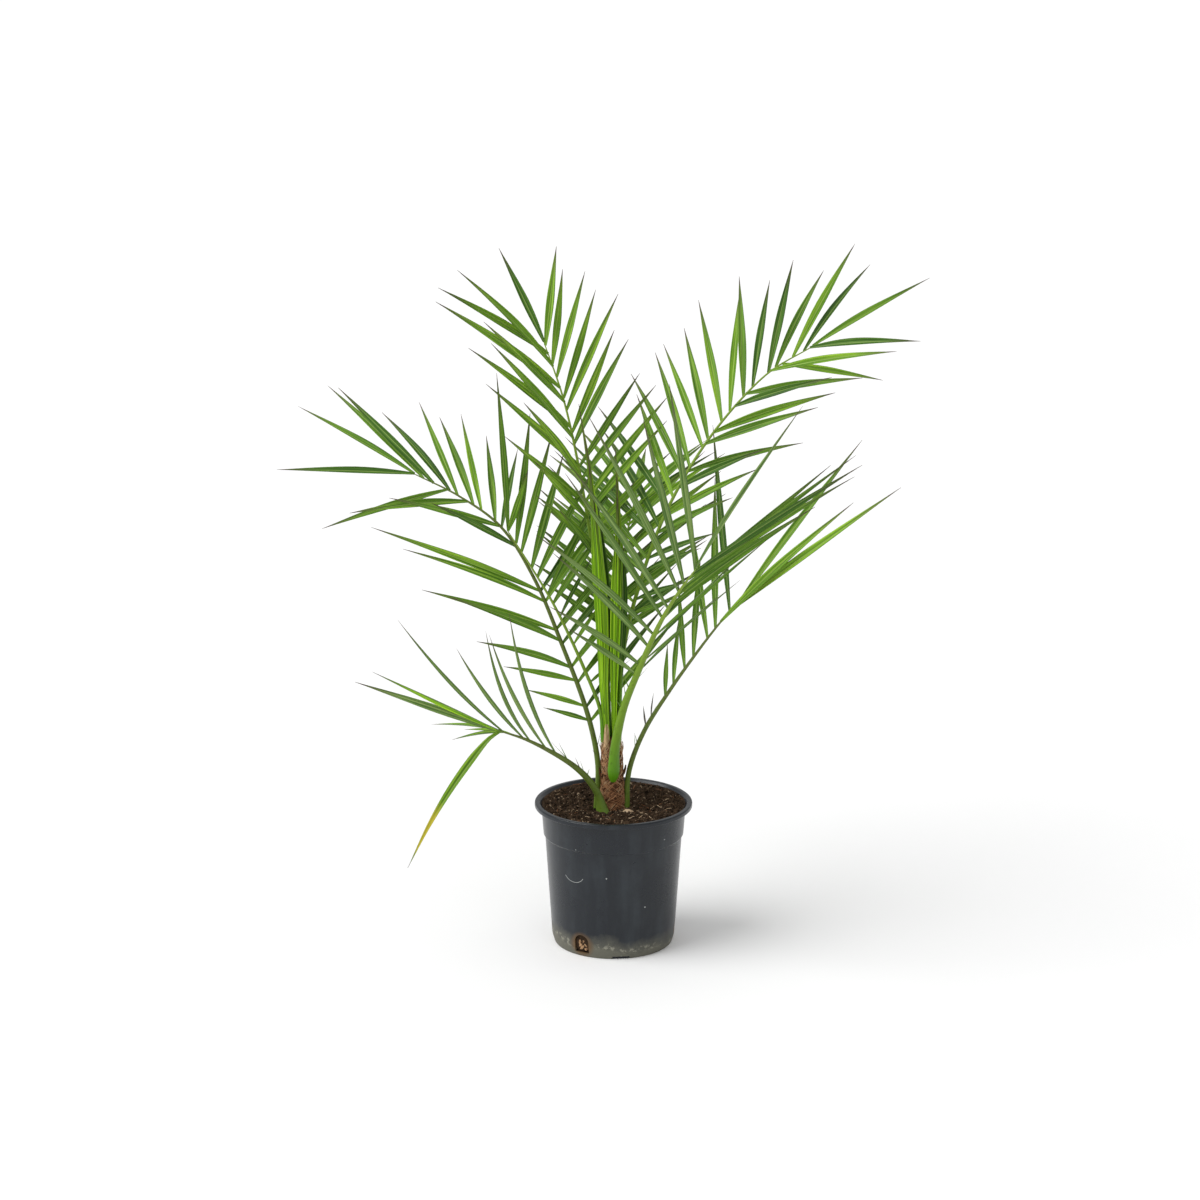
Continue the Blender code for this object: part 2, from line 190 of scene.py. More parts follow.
@dataclass(frozen=True)
class LeafFinish:
    """Finish of leaf tissue: one base colour with a pale midrib, fine veins and a browned tip.

    It reads three attributes of a leaflet piece: ACROSS, from -1 to 1 over a leaflet's width;
    ALONG, from 0 to 1 over its length; and STRIP, a number of each leaflet's own.
    """
    name: str
    colour: Colour
    roughness: float = 0.40
    midrib: Colour = (0.34, 0.46, 0.12)
    midrib_width: float = 0.14
    margin: float = 0.86
    tip: Colour = (0.085, 0.062, 0.040)
    tip_start: float = 0.66
    band: Pair | None = None
    band_colour: Colour = (0.46, 0.38, 0.03)

    ACROSS = "across_place"
    ALONG = "along_place"
    STRIP = "strip"
    VEIN_SCALE = {"X": 3.2, "Y": 1.6, "Z": 7.3}
    VEIN_STOPS = ((0.32, (0.22, 0.34, 0.14)), (0.50, (0.92, 0.94, 0.90)), (0.68, (2.50, 1.95, 2.60)))
    BAND_FADE = (0.12, 0.08)

    def make(self) -> bpy.types.Material:
        """Build the material."""
        material, nodes, surface = shader(self.name, self.roughness, 0.16)
        across, along, strip = (nodes.add("ShaderNodeAttribute", {"attribute_name": name}).outputs["Fac"]
                                for name in (self.ACROSS, self.ALONG, self.STRIP))
        stretched = {axis: nodes.times(value, scale)
                     for (axis, scale), value in zip(self.VEIN_SCALE.items(), (across, along, strip))}
        place = nodes.add("ShaderNodeCombineXYZ", **stretched)
        veins = nodes.noise(place.outputs[0], 1.0, 4.0, 0.6)
        base = nodes.mix(0.85, self.colour, nodes.ramp(veins, self.VEIN_STOPS), "MULTIPLY")
        middle = nodes.math("ABSOLUTE", across)
        ridge = nodes.math("MAXIMUM", nodes.minus(1.0, nodes.over(middle, self.midrib_width)), 0.0)
        base = nodes.mix(nodes.times(ridge, 0.75), base, self.midrib)
        edge = nodes.math("MAXIMUM", nodes.over(nodes.minus(middle, self.margin), 1.0 - self.margin), 0.0)
        base = nodes.mix(nodes.times(edge, 0.45), base, self.midrib)
        if self.band:
            base = self.banded(nodes, base, along, veins)
        dry = nodes.over(nodes.minus(along, self.tip_start), 1.0 - self.tip_start)
        dry = nodes.math("POWER", nodes.math("MAXIMUM", dry, 0.0), 1.3)
        base = nodes.mix(nodes.math("MINIMUM", dry, 0.9), base, self.tip)
        nodes.feed(surface.inputs["Base Color"], base)
        bump = nodes.add("ShaderNodeBump", Strength=0.35, Distance=0.0006, Height=veins)
        nodes.feed(surface.inputs["Normal"], bump.outputs[0])
        return material

    def banded(self, nodes: Nodes, base: bpy.types.NodeSocket, along: bpy.types.NodeSocket,
               veins: bpy.types.NodeSocket) -> bpy.types.NodeSocket:
        """The colour so far, with a patchy band across part of the leaflet's length."""
        start, end = self.band
        before, after = self.BAND_FADE
        inside = nodes.ramp(along, ((start - before, BLACK), (start, WHITE),
                                    (end, WHITE), (end + after, BLACK)))
        patchy = nodes.times(inside, nodes.times(veins, 1.7))
        return nodes.mix(nodes.math("MINIMUM", patchy, 1.0), base, self.band_colour)


LEAF_FINISHES = {
    Tone.FRESH: LeafFinish("leaf_fresh", (0.152, 0.315, 0.020)),
    Tone.MIDDLE: LeafFinish("leaf_middle", (0.105, 0.232, 0.018)),
    Tone.DEEP: LeafFinish("leaf_deep", (0.052, 0.135, 0.014)),
    Tone.VIVID: LeafFinish("leaf_vivid", (0.205, 0.430, 0.010), midrib=(0.38, 0.56, 0.06)),
    Tone.DRY: LeafFinish("leaf_dry_tip", (0.100, 0.066, 0.046), 0.6, (0.13, 0.10, 0.07)),
    Tone.YELLOW: LeafFinish("leaf_yellowing", (0.125, 0.255, 0.014), tip_start=0.88, band=(0.66, 0.86)),
    Tone.DEAD: LeafFinish("leaf_dead", (0.100, 0.095, 0.075), 0.75, (0.14, 0.13, 0.10)),
}
UNDERSIDE = LeafFinish("leaf_underside", (0.120, 0.220, 0.048), 0.5, (0.36, 0.44, 0.16))


@dataclass(frozen=True)
class StalkFinish:
    """Finish of a leaf stalk: green that pales towards the foot, with faint lengthwise streaks."""
    name: str
    foot: Colour
    body: Colour
    tip: Colour

    STREAK_STOPS = ((0.35, (0.72, 0.76, 0.62)), (0.65, (1.1, 1.08, 1.0)))
    SPOT_STOPS = ((0.30, (0.60, 0.50, 0.34)), (0.40, WHITE))

    def make(self) -> bpy.types.Material:
        """Build the material, which reads the piece's own UV map, along the stalk and round it."""
        material, nodes, surface = shader(self.name, 0.38, 0.22)
        place = nodes.add("ShaderNodeTexCoord")
        split = nodes.add("ShaderNodeSeparateXYZ", Vector=place.outputs["UV"])
        base = nodes.ramp(split.outputs["X"], ((0.0, self.foot), (0.22, self.body), (1.0, self.tip)))
        stretch = nodes.add("ShaderNodeMapping", Vector=place.outputs["UV"], Scale=(3.0, 40.0, 1.0))
        streak = nodes.noise(stretch.outputs[0], 6.0, 5.0)
        tinted = nodes.mix(0.8, base, nodes.ramp(streak, self.STREAK_STOPS), "MULTIPLY")
        spots = nodes.ramp(nodes.noise(place.outputs["Object"], 160.0, 4.0), self.SPOT_STOPS)
        nodes.feed(surface.inputs["Base Color"], nodes.mix(0.6, tinted, spots, "MULTIPLY"))
        bump = nodes.add("ShaderNodeBump", Strength=0.25, Distance=0.0005, Height=streak)
        nodes.feed(surface.inputs["Normal"], bump.outputs[0])
        return material


@dataclass(frozen=True)
class PotFinish:
    """Scuffed slate plastic with dust and lime round its foot and stained drain openings."""
    plastic: Colour = (0.0060, 0.0090, 0.0135)
    worn: Colour = (0.018, 0.024, 0.030)
    dust: Colour = (0.125, 0.122, 0.092)
    lime: Colour = (0.300, 0.290, 0.230)
    stain: Colour = (0.120, 0.062, 0.018)
    dust_top: float = 0.030
    slot_radius: float = 0.0702
    lime_line: Pair = (0.013, 0.006)
    stain_reach: float = 0.0175
    arc_centre: Pair = (-0.047, 0.1065)
    arc_radius: float = 0.0115
    arc_width: float = 0.00030
    arc_drop: float = 0.005
    mark: Colour = (0.50, 0.52, 0.50)
    specks: tuple[tuple[float, float, float], ...] = (
        (-0.0087, 0.1048, 0.0009), (0.0373, 0.0650, 0.0009),
        (0.0603, 0.1470, 0.0006), (-0.045, 0.138, 0.0005))
    drains: tuple[tuple[float, float, float], ...] = (
        (-0.0384, -0.0639, 0.0150), (0.0745, -0.0013, 0.0150), (-0.0361, 0.0652, 0.0150))

    def make(self) -> bpy.types.Material:
        """Build the material."""
        material, nodes, surface = shader("scuffed_slate_plastic", 0.42, 0.38)
        place = nodes.add("ShaderNodeTexCoord").outputs["Object"]
        split = nodes.add("ShaderNodeSeparateXYZ", Vector=place)
        cloud = nodes.noise(place, 18.0, 8.0, 0.65)
        fine = nodes.noise(place, 150.0, 6.0, 0.7)
        upright = nodes.add("ShaderNodeMapping", Vector=place, Scale=(1.0, 1.0, 0.12))
        rubbed = nodes.noise(upright.outputs[0], 70.0, 7.0)
        wear = nodes.ramp(nodes.times(rubbed, cloud), ((0.22, BLACK), (0.42, WHITE)))
        base = nodes.mix(wear, self.plastic, self.worn)
        round_axis = nodes.add("ShaderNodeVectorMath", {"operation": "MULTIPLY"}, Vector=place)
        nodes.feed(round_axis.inputs[1], (1.0, 1.0, 0.0))
        radius = nodes.add("ShaderNodeVectorMath", {"operation": "LENGTH"}, Vector=round_axis.outputs[0])
        outer = nodes.math("GREATER_THAN", radius.outputs["Value"], self.slot_radius)
        base, grit = self.dusted(nodes, base, split, cloud, nodes.times(fine, outer))
        for centre in self.drains:
            away = nodes.add("ShaderNodeVectorMath", {"operation": "DISTANCE"}, Vector=place)
            nodes.feed(away.inputs[1], centre)
            near = nodes.minus(1.0, nodes.over(away.outputs["Value"], self.stain_reach))
            ring = nodes.times(nodes.math("MAXIMUM", near, 0.0), nodes.plus(fine, 1.6))
            base = nodes.mix(nodes.math("MINIMUM", ring, 0.8), base, self.stain)
        marks = nodes.times(self.marks(nodes, split, place), 0.6)
        nodes.feed(surface.inputs["Base Color"], nodes.mix(marks, base, self.mark))
        rough = nodes.plus(nodes.times(cloud, 0.22), 0.18)
        nodes.feed(surface.inputs["Roughness"], nodes.plus(rough, nodes.times(grit, 0.35)))
        bump = nodes.add("ShaderNodeBump", Strength=0.15, Distance=0.0005, Height=fine)
        nodes.feed(surface.inputs["Normal"], bump.outputs[0])
        return material

    def dusted(self, nodes: Nodes, base: bpy.types.NodeSocket, split: bpy.types.Node,
               cloud: bpy.types.NodeSocket, fine: bpy.types.NodeSocket
               ) -> tuple[bpy.types.NodeSocket, bpy.types.NodeSocket]:
        """Dust round the foot, with a line of lime along its upper edge.

        Args:
            nodes: The material's node helper.
            base: The colour so far.
            split: Node that gives the place along each axis.
            cloud: Broad noise.
            fine: Fine noise.

        Returns:
            The dusted colour, and how much dust there is.
        """
        swing = nodes.times(nodes.minus(cloud, 0.5), 0.05)
        height = nodes.plus(split.outputs["Z"], swing)
        low = nodes.minus(1.0, nodes.over(height, self.dust_top))
        dusty = nodes.math("MAXIMUM", low, 0.0)
        grit = nodes.math("MINIMUM", nodes.times(dusty, nodes.times(fine, 2.5)), 0.9)
        base = nodes.mix(grit, base, self.dust)
        level, spread = self.lime_line
        edge = nodes.over(nodes.math("ABSOLUTE", nodes.minus(height, level)), spread)
        line = nodes.math("MAXIMUM", nodes.minus(1.0, edge), 0.0)
        flecked = nodes.times(line, nodes.math("GREATER_THAN", fine, 0.55))
        return nodes.mix(nodes.times(flecked, 0.7), base, self.lime), grit

    def marks(self, nodes: Nodes, split: bpy.types.Node,
              place: bpy.types.NodeSocket) -> bpy.types.NodeSocket:
        """White specks and an arc-shaped scratch on the side with x across and z up."""
        front = nodes.math("LESS_THAN", split.outputs["Y"], 0.0)

        def away(x: float, z: float) -> bpy.types.NodeSocket:
            """Distance from a place on the front, seen along Y."""
            across = nodes.minus(split.outputs["X"], x)
            above = nodes.minus(split.outputs["Z"], z)
            return nodes.math("SQRT", nodes.plus(nodes.times(across, across), nodes.times(above, above)))

        x, z = self.arc_centre
        rim = nodes.math("ABSOLUTE", nodes.minus(away(x, z), self.arc_radius))
        total = nodes.times(nodes.math("LESS_THAN", rim, self.arc_width),
                           nodes.math("LESS_THAN", split.outputs["Z"], z - self.arc_drop))
        for across, height, radius in self.specks:
            total = nodes.math("MAXIMUM", total, nodes.math("LESS_THAN", away(across, height), radius))
        flecks = nodes.add("ShaderNodeTexVoronoi", Vector=place, Scale=42.0)
        small = nodes.times(nodes.math("LESS_THAN", flecks.outputs["Distance"], 0.022), 0.5)
        return nodes.math("MAXIMUM", nodes.times(total, front), small)


@dataclass(frozen=True)
class EarthFinish:
    """Mottled matt finish for peat, bark and fibre."""
    name: str
    dark: Colour
    light: Colour
    scale: float = 90.0
    stretch: float = 1.0
    bump: float = 0.6

    def make(self) -> bpy.types.Material:
        """Build the material; stretch under 1 draws its mottling out upright."""
        material, nodes, surface = shader(self.name, 0.9, 0.08)
        place = nodes.add("ShaderNodeTexCoord").outputs["Object"]
        mapped = nodes.add("ShaderNodeMapping", Vector=place, Scale=(1.0, 1.0, self.stretch)).outputs[0]
        blend = nodes.plus(nodes.times(nodes.noise(mapped, self.scale, 8.0, 0.7), 0.7),
                           nodes.times(nodes.noise(mapped, self.scale * 7, 5.0), 0.3))
        mottled = nodes.ramp(blend, ((0.36, self.dark), (0.64, self.light)))
        nodes.feed(surface.inputs["Base Color"], mottled)
        bump = nodes.add("ShaderNodeBump", Strength=self.bump, Distance=0.001, Height=blend)
        nodes.feed(surface.inputs["Normal"], bump.outputs[0])
        return material


# Shapes

def linked(name: str, data: bpy.types.ID) -> bpy.types.Object:
    """New object on some data, linked to the scene."""
    made = bpy.data.objects.new(name, data)
    bpy.context.scene.collection.objects.link(made)
    return made


def mesh_object(name: str, verts: Sequence[Vector], faces: Sequence[Sequence[int]],
                edges: Sequence[Pair] = ()) -> bpy.types.Object:
    """Object with its place in its mesh, linked to the scene."""
    mesh = bpy.data.meshes.new(name)
    mesh.from_pydata([tuple(vert) for vert in verts], list(edges), list(faces))
    return linked(name, mesh)


def smooth(made: bpy.types.Object, angle: float = 40.0) -> None:
    """Shade an object smooth except over sharp edges."""
    made.data.shade_smooth()
    made.data.set_sharp_from_angle(angle=math.radians(angle))


def outward(made: bpy.types.Object, merge: bool = True) -> None:
    """Turn every face outwards, and merge doubles first where asked."""
    shape = bmesh.new()
    shape.from_mesh(made.data)
    if merge:
        bmesh.ops.remove_doubles(shape, verts=shape.verts, dist=0.005 * MM)
    bmesh.ops.recalc_face_normals(shape, faces=shape.faces)
    shape.to_mesh(made.data)
    shape.free()


def baked(made: bpy.types.Object) -> bpy.types.Object:
    """Turn an object's evaluated shape into a plain mesh and drop its modifiers."""
    bpy.context.view_layer.update()
    ready = made.evaluated_get(bpy.context.evaluated_depsgraph_get())
    mesh = bpy.data.meshes.new_from_object(ready)
    made.modifiers.clear()
    made.data = mesh
    return made


def smooth_path(points: Sequence[Sequence[float]], samples: int) -> list[Vector]:
    """Even samples along a smooth curve.

    Args:
        points: Two or more points that the curve passes through.
        samples: How many samples to return.

    Returns:
        The samples, evenly along the curve.
    """
    known = [Vector(point) for point in points]
    known = [2 * known[0] - known[1], *known, 2 * known[-1] - known[-2]]
    spans = len(known) - 3
    dense = []
    count = samples * 3
    for sample in range(count):
        place = sample / (count - 1) * spans
        span = min(int(place), spans - 1)
        t = place - span
        a, b, c, d = known[span:span + 4]
        dense.append(0.5 * (2 * b + (c - a) * t + (2 * a - 5 * b + 4 * c - d) * t ** 2
                            + (3 * b - a - 3 * c + d) * t ** 3))
    walked = [0.0]
    for before, after in zip(dense, dense[1:]):
        walked.append(walked[-1] + (after - before).length)
    even = []
    span = 0
    for sample in range(samples):
        goal = walked[-1] * sample / (samples - 1)
        while span < count - 2 and walked[span + 1] < goal:
            span += 1
        part = (goal - walked[span]) / max(walked[span + 1] - walked[span], 1e-9)
        even.append(dense[span].lerp(dense[span + 1], min(max(part, 0.0), 1.0)))
    return even


def turned(name: str, profile: Sequence[Pair], steps: int) -> bpy.types.Object:
    """Solid of revolution about Z.

    Args:
        name: The piece's name.
        profile: (radius, height) in mm, from the axis round to the axis.
        steps: Number of sides.

    Returns:
        The closed mesh object.
    """
    verts: list[Vector] = []
    rings: list[list[int]] = []
    for radius, height in profile:
        if radius == 0:
            verts.append(Vector((0.0, 0.0, height * MM)))
            rings.append([len(verts) - 1] * steps)
            continue
        rings.append([])
        for step in range(steps):
            angle = math.tau * step / steps
            verts.append(Vector((radius * math.cos(angle), radius * math.sin(angle), height)) * MM)
            rings[-1].append(len(verts) - 1)
    faces = []
    for inner, outer in zip(rings, rings[1:]):
        for step in range(steps):
            after = (step + 1) % steps
            corners = [inner[step], outer[step], outer[after], inner[after]]
            face = [corner for i, corner in enumerate(corners) if corner not in corners[:i]]
            if len(face) > 2:
                faces.append(face)
    made = mesh_object(name, verts, faces)
    outward(made)
    return made


def rounded(corners: Sequence[tuple[float, float, float]], arc: int = 6) -> list[Pair]:
    """Profile with rounded corners.

    Args:
        corners: (radius, height, rounding) in mm.
        arc: Points to a rounded corner.

    Returns:
        The profile's points.
    """
    points: list[Pair] = []
    for index, (x, z, bend) in enumerate(corners):
        if bend == 0 or index in (0, len(corners) - 1):
            points.append((x, z))
            continue
        here = Vector((x, z))
        before = Vector(corners[index - 1][:2])
        after = Vector(corners[index + 1][:2])
        start = here + (before - here).normalized() * min(bend, (before - here).length / 2)
        end = here + (after - here).normalized() * min(bend, (after - here).length / 2)
        for step in range(arc + 1):
            t = step / arc
            place = start * (1 - t) ** 2 + here * 2 * t * (1 - t) + end * t ** 2
            points.append((place.x, place.y))
    return points


def tube_faces(rings: int, sides: int) -> list[list[int]]:
    """Faces of a closed tube with so many rings of so many points."""
    faces = [[*range(sides)][::-1]]
    for ring in range(rings - 1):
        low, high = ring * sides, (ring + 1) * sides
        for side in range(sides):
            after = (side + 1) % sides
            faces.append([low + side, low + after, high + after, high + side])
    faces.append([*range((rings - 1) * sides, rings * sides)])
    return faces


def swept(name: str, path: Sequence[Vector], radii: Sequence[float], sides: int = 14,
          flat: Callable[[float], Pair] | None = None, left: Vector | None = None) -> bpy.types.Object:
    """Closed tube along a path.

    Args:
        name: The piece's name.
        path: Points of the middle line, in mm.
        radii: Radius at each point, in mm.
        sides: Number of sides.
        flat: Width and depth factors of the section at a fraction of the path.
        left: Direction of the section's width; where absent, any upright frame is taken.

    Returns:
        The mesh object, with a UV map that runs along the path and round it.
    """
    verts: list[Vector] = []
    for index, (point, radius) in enumerate(zip(path, radii)):
        along = (path[min(index + 1, len(path) - 1)] - path[max(index - 1, 0)]).normalized()
        wide = (left or Vector((1.0, 0.0, 0.0))).copy()
        wide = (wide - along * wide.dot(along)).normalized()
        deep = along.cross(wide)
        factor = flat(index / (len(path) - 1)) if flat else (1.0, 1.0)
        for side in range(sides):
            angle = math.tau * side / sides
            offset = wide * math.cos(angle) * factor[0] + deep * math.sin(angle) * factor[1]
            verts.append((point + offset * radius) * MM)
    made = mesh_object(name, verts, tube_faces(len(path), sides))
    chart = made.data.uv_layers.new(name="UVMap")
    for loop in made.data.loops:
        ring, side = divmod(loop.vertex_index, sides)
        chart.data[loop.index].uv = (ring / (len(path) - 1), side / sides)
    outward(made, merge=False)
    smooth(made, 60.0)
    return made


def joined(name: str, pieces: Sequence[bpy.types.Object]) -> bpy.types.Object:
    """Join mesh objects into one named piece."""
    shape = bmesh.new()
    for piece in pieces:
        shape.from_mesh(piece.data)
    made = pieces[0]
    mesh = bpy.data.meshes.new(name)
    shape.to_mesh(mesh)
    shape.free()
    for slot in made.data.materials:
        mesh.materials.append(slot)
    made.data = mesh
    made.name = name
    for piece in pieces[1:]:
        bpy.data.objects.remove(piece, do_unlink=True)
    return made


# Geometry Nodes trees

def new_tree(name: str) -> tuple[bpy.types.NodeTree, Nodes, bpy.types.Node, bpy.types.Node]:
    """Geometry Nodes tree with a geometry input and output."""
    tree = bpy.data.node_groups.new(name, "GeometryNodeTree")
    tree.interface.new_socket(name="Geometry", in_out="INPUT", socket_type="NodeSocketGeometry")
    tree.interface.new_socket(name="Geometry", in_out="OUTPUT", socket_type="NodeSocketGeometry")
    return tree, Nodes(tree), tree.nodes.new("NodeGroupInput"), tree.nodes.new("NodeGroupOutput")


def named_input(tree: bpy.types.NodeTree, name: str, kind: str = "NodeSocketFloat") -> str:
    """Add a named input to a tree and return its identifier."""
    return tree.interface.new_socket(name=name, in_out="INPUT", socket_type=kind).identifier


class LeafletTree:
    """Sweeps a folded, closed leaflet section along each midrib of a mesh of edges."""

    SECTION_POINTS = 8
    UNDERSIDE = "underside"

    def __init__(self) -> None:
        """Build the tree once for the whole crown."""
        self.tree, nodes, group, out = new_tree("leaflet_sweep")
        self.fold = named_input(self.tree, "Fold")
        self.thickness = named_input(self.tree, "Thickness")
        self.slots = [named_input(self.tree, f"Slot {index}", "NodeSocketMaterial")
                      for index in range(UNDERSIDE_SLOT + 1)]
        midribs = nodes.add("GeometryNodeMeshToCurve", Mesh=group.outputs["Geometry"])
        width = self.attribute(nodes, "half_width", "FLOAT")
        across = self.attribute(nodes, "across", "FLOAT_VECTOR")
        turned_curve = nodes.add("GeometryNodeSetCurveNormal", {"mode": "FREE"},
                                 Curve=midribs.outputs["Curve"], Normal=across)
        scaled = nodes.add("GeometryNodeSetCurveRadius", Curve=turned_curve.outputs["Curve"],
                           Radius=width)
        sweep = nodes.add("GeometryNodeCurveToMesh", Curve=scaled.outputs["Curve"], Fill_Caps=True,
                          Scale=width)
        nodes.feed(sweep.inputs["Profile Curve"], self.section(nodes, group))
        shaded = nodes.add("GeometryNodeSetShadeSmooth", Geometry=sweep.outputs["Mesh"])
        dressed = shaded.outputs["Geometry"]
        tone = self.attribute(nodes, "tone", "FLOAT")
        for index in range(UNDERSIDE_SLOT):
            near = nodes.math("LESS_THAN", nodes.math("ABSOLUTE", nodes.minus(tone, index)), 0.5)
            dressed = self.dress(nodes, group, dressed, near, index)
        below = nodes.math("GREATER_THAN", self.attribute(nodes, self.UNDERSIDE, "FLOAT"), 0.25)
        living = nodes.math("LESS_THAN", tone, Tone.DRY.value - 0.5)
        dressed = self.dress(nodes, group, dressed, nodes.times(below, living), UNDERSIDE_SLOT)
        real = nodes.add("GeometryNodeRealizeInstances", Geometry=dressed)
        nodes.feed(out.inputs["Geometry"], real.outputs["Geometry"])

    @staticmethod
    def attribute(nodes: Nodes, name: str, kind: str) -> bpy.types.NodeSocket:
        """Socket that reads a named attribute."""
        node = nodes.add("GeometryNodeInputNamedAttribute", {"data_type": kind}, Name=name)
        return node.outputs["Attribute"]

    @staticmethod
    def dress(nodes: Nodes, group: bpy.types.Node, geometry: bpy.types.NodeSocket,
              chosen: bpy.types.NodeSocket, index: int) -> bpy.types.NodeSocket:
        """Give the chosen faces the material of one slot."""
        node = nodes.add("GeometryNodeSetMaterial", Geometry=geometry, Selection=chosen)
        nodes.feed(node.inputs["Material"], group.outputs[f"Slot {index}"])
        return node.outputs["Geometry"]

    def section(self, nodes: Nodes, group: bpy.types.Node) -> bpy.types.NodeSocket:
        """Closed V-shaped section, one unit to each edge, with its lower half marked."""
        ring = nodes.add("GeometryNodeCurvePrimitiveCircle", {"mode": "RADIUS"},
                         Resolution=self.SECTION_POINTS, Radius=1.0)
        position = nodes.add("GeometryNodeInputPosition").outputs[0]
        place = nodes.add("ShaderNodeSeparateXYZ", Vector=position)
        raised = nodes.times(nodes.math("ABSOLUTE", place.outputs["X"]), group.outputs["Fold"])
        thick = nodes.times(place.outputs["Y"], group.outputs["Thickness"])
        moved = nodes.add("ShaderNodeCombineXYZ", X=place.outputs["X"], Y=nodes.plus(raised, thick))
        below = nodes.math("LESS_THAN", place.outputs["Y"], -0.1)
        mark = ring.outputs["Curve"]
        for name, value in ((self.UNDERSIDE, below), (LeafFinish.ACROSS, place.outputs["X"])):
            mark = nodes.add("GeometryNodeStoreNamedAttribute", {"data_type": "FLOAT", "domain": "POINT"},
                             Geometry=mark, Name=name, Value=value).outputs["Geometry"]
        shaped = nodes.add("GeometryNodeSetPosition", Geometry=mark, Position=moved.outputs[0])
        return shaped.outputs["Geometry"]

    def grow(self, piece: bpy.types.Object, fold: float, materials: Sequence[bpy.types.Material],
             thickness: float = 0.07) -> bpy.types.Object:
        """Turn a mesh of midribs into leaflets.

        Args:
            piece: Mesh of edges with the attributes half_width, across and tone.
            fold: Rise of the leaflet's edges over its midrib, as a part of its half width.
            materials: One material for each tone, then the underside's.
            thickness: Half thickness, as a part of the half width.

        Returns:
            The same object, now a plain closed mesh.
        """
        modifier = piece.modifiers.new("leaflets", "NODES")
        modifier.node_group = self.tree
        modifier[self.fold] = fold
        modifier[self.thickness] = thickness
        for identifier, material in zip(self.slots, materials):
            modifier[identifier] = material
        return baked(piece)


class ScatterTree:
    """Scatters and realizes small tapered chips over a surface."""

    def __init__(self, name: str, size: Callable[[Nodes], bpy.types.NodeSocket]) -> None:
        """Build the tree.

        Args:
            name: The tree's name.
            size: Makes the chip's geometry from the node helper.
        """
        self.tree, nodes, group, out = new_tree(name)
        self.density = named_input(self.tree, "Density")
        self.low = named_input(self.tree, "Smallest", "NodeSocketVector")
        self.high = named_input(self.tree, "Largest", "NodeSocketVector")
        self.tilt = named_input(self.tree, "Tilt")
        self.seed = named_input(self.tree, "Seed", "NodeSocketInt")
        self.material = named_input(self.tree, "Material", "NodeSocketMaterial")
        points = nodes.add("GeometryNodeDistributePointsOnFaces", {"distribute_method": "RANDOM"},
                           Mesh=group.outputs["Geometry"], Seed=group.outputs["Seed"])
        nodes.feed(points.inputs["Density"], group.outputs["Density"])
        tilt = group.outputs["Tilt"]
        lean = nodes.add("ShaderNodeCombineXYZ", X=tilt, Y=tilt, Z=math.pi)
        back = nodes.add("ShaderNodeVectorMath", {"operation": "SCALE"}, Vector=lean.outputs[0],
                         Scale=-1.0)
        turn = self.random(nodes, back.outputs[0], lean.outputs[0], group.outputs["Seed"])
        grow = self.random(nodes, group.outputs["Smallest"], group.outputs["Largest"],
                           group.outputs["Seed"])
        placed = nodes.add("GeometryNodeInstanceOnPoints", Points=points.outputs["Points"],
                           Instance=size(nodes), Rotation=turn, Scale=grow)
        real = nodes.add("GeometryNodeRealizeInstances", Geometry=placed.outputs["Instances"])
        dressed = nodes.add("GeometryNodeSetMaterial", Geometry=real.outputs["Geometry"],
                            Material=group.outputs["Material"])
        nodes.feed(out.inputs["Geometry"], dressed.outputs["Geometry"])

    @staticmethod
    def random(nodes: Nodes, low: bpy.types.NodeSocket, high: bpy.types.NodeSocket,
               seed: bpy.types.NodeSocket) -> bpy.types.NodeSocket:
        """Random vector for each point."""
        node = nodes.add("FunctionNodeRandomValue", {"data_type": "FLOAT_VECTOR"},
                         Min=low, Max=high, Seed=seed)
        return node.outputs["Value"]

    def strew(self, name: str, ground: bpy.types.Object, density: float, low: Colour, high: Colour,
              tilt: float, seed: int, material: bpy.types.Material) -> bpy.types.Object:
        """Cover a copy of a surface and keep only what was scattered.

        Args:
            name: The new piece's name.
            ground: Surface to scatter over.
            density: Chips to a square metre.
            low: Smallest size along each axis, in metres.
            high: Largest size along each axis, in metres.
            tilt: Most that a chip leans, in radians.
            seed: Seed of the random draws.
            material: The chips' material.

        Returns:
            The new piece, a plain mesh.
        """
        made = linked(name, ground.data.copy())
        modifier = made.modifiers.new("scatter", "NODES")
        modifier.node_group = self.tree
        for identifier, value in ((self.density, density), (self.low, low), (self.high, high),
                                  (self.tilt, tilt), (self.seed, seed), (self.material, material)):
            modifier[identifier] = value
        return baked(made)


def chip_shape(nodes: Nodes) -> bpy.types.NodeSocket:
    """Rough pebble of unit radius."""
    ball = nodes.add("GeometryNodeMeshIcoSphere", Radius=1.0, Subdivisions=1)
    return ball.outputs["Mesh"]


def straw_shape(nodes: Nodes) -> bpy.types.NodeSocket:
    """Bent straw of unit length that tapers at its ends."""
    bow = nodes.add("GeometryNodeCurvePrimitiveBezierSegment", Resolution=7)
    for socket, value in (("Start", (-1.0, 0.0, 0.0)), ("Start Handle", (-0.4, 0.25, 0.3)),
                          ("End Handle", (0.3, -0.3, 0.3)), ("End", (1.0, 0.1, 0.0))):
        nodes.feed(bow.inputs[socket], value)
    ring = nodes.add("GeometryNodeCurvePrimitiveCircle", {"mode": "RADIUS"}, Resolution=5, Radius=0.05)
    tube = nodes.add("GeometryNodeCurveToMesh", Curve=bow.outputs["Curve"], Fill_Caps=True)
    nodes.feed(tube.inputs["Profile Curve"], ring.outputs["Curve"])
    return tube.outputs["Mesh"]


# Crown

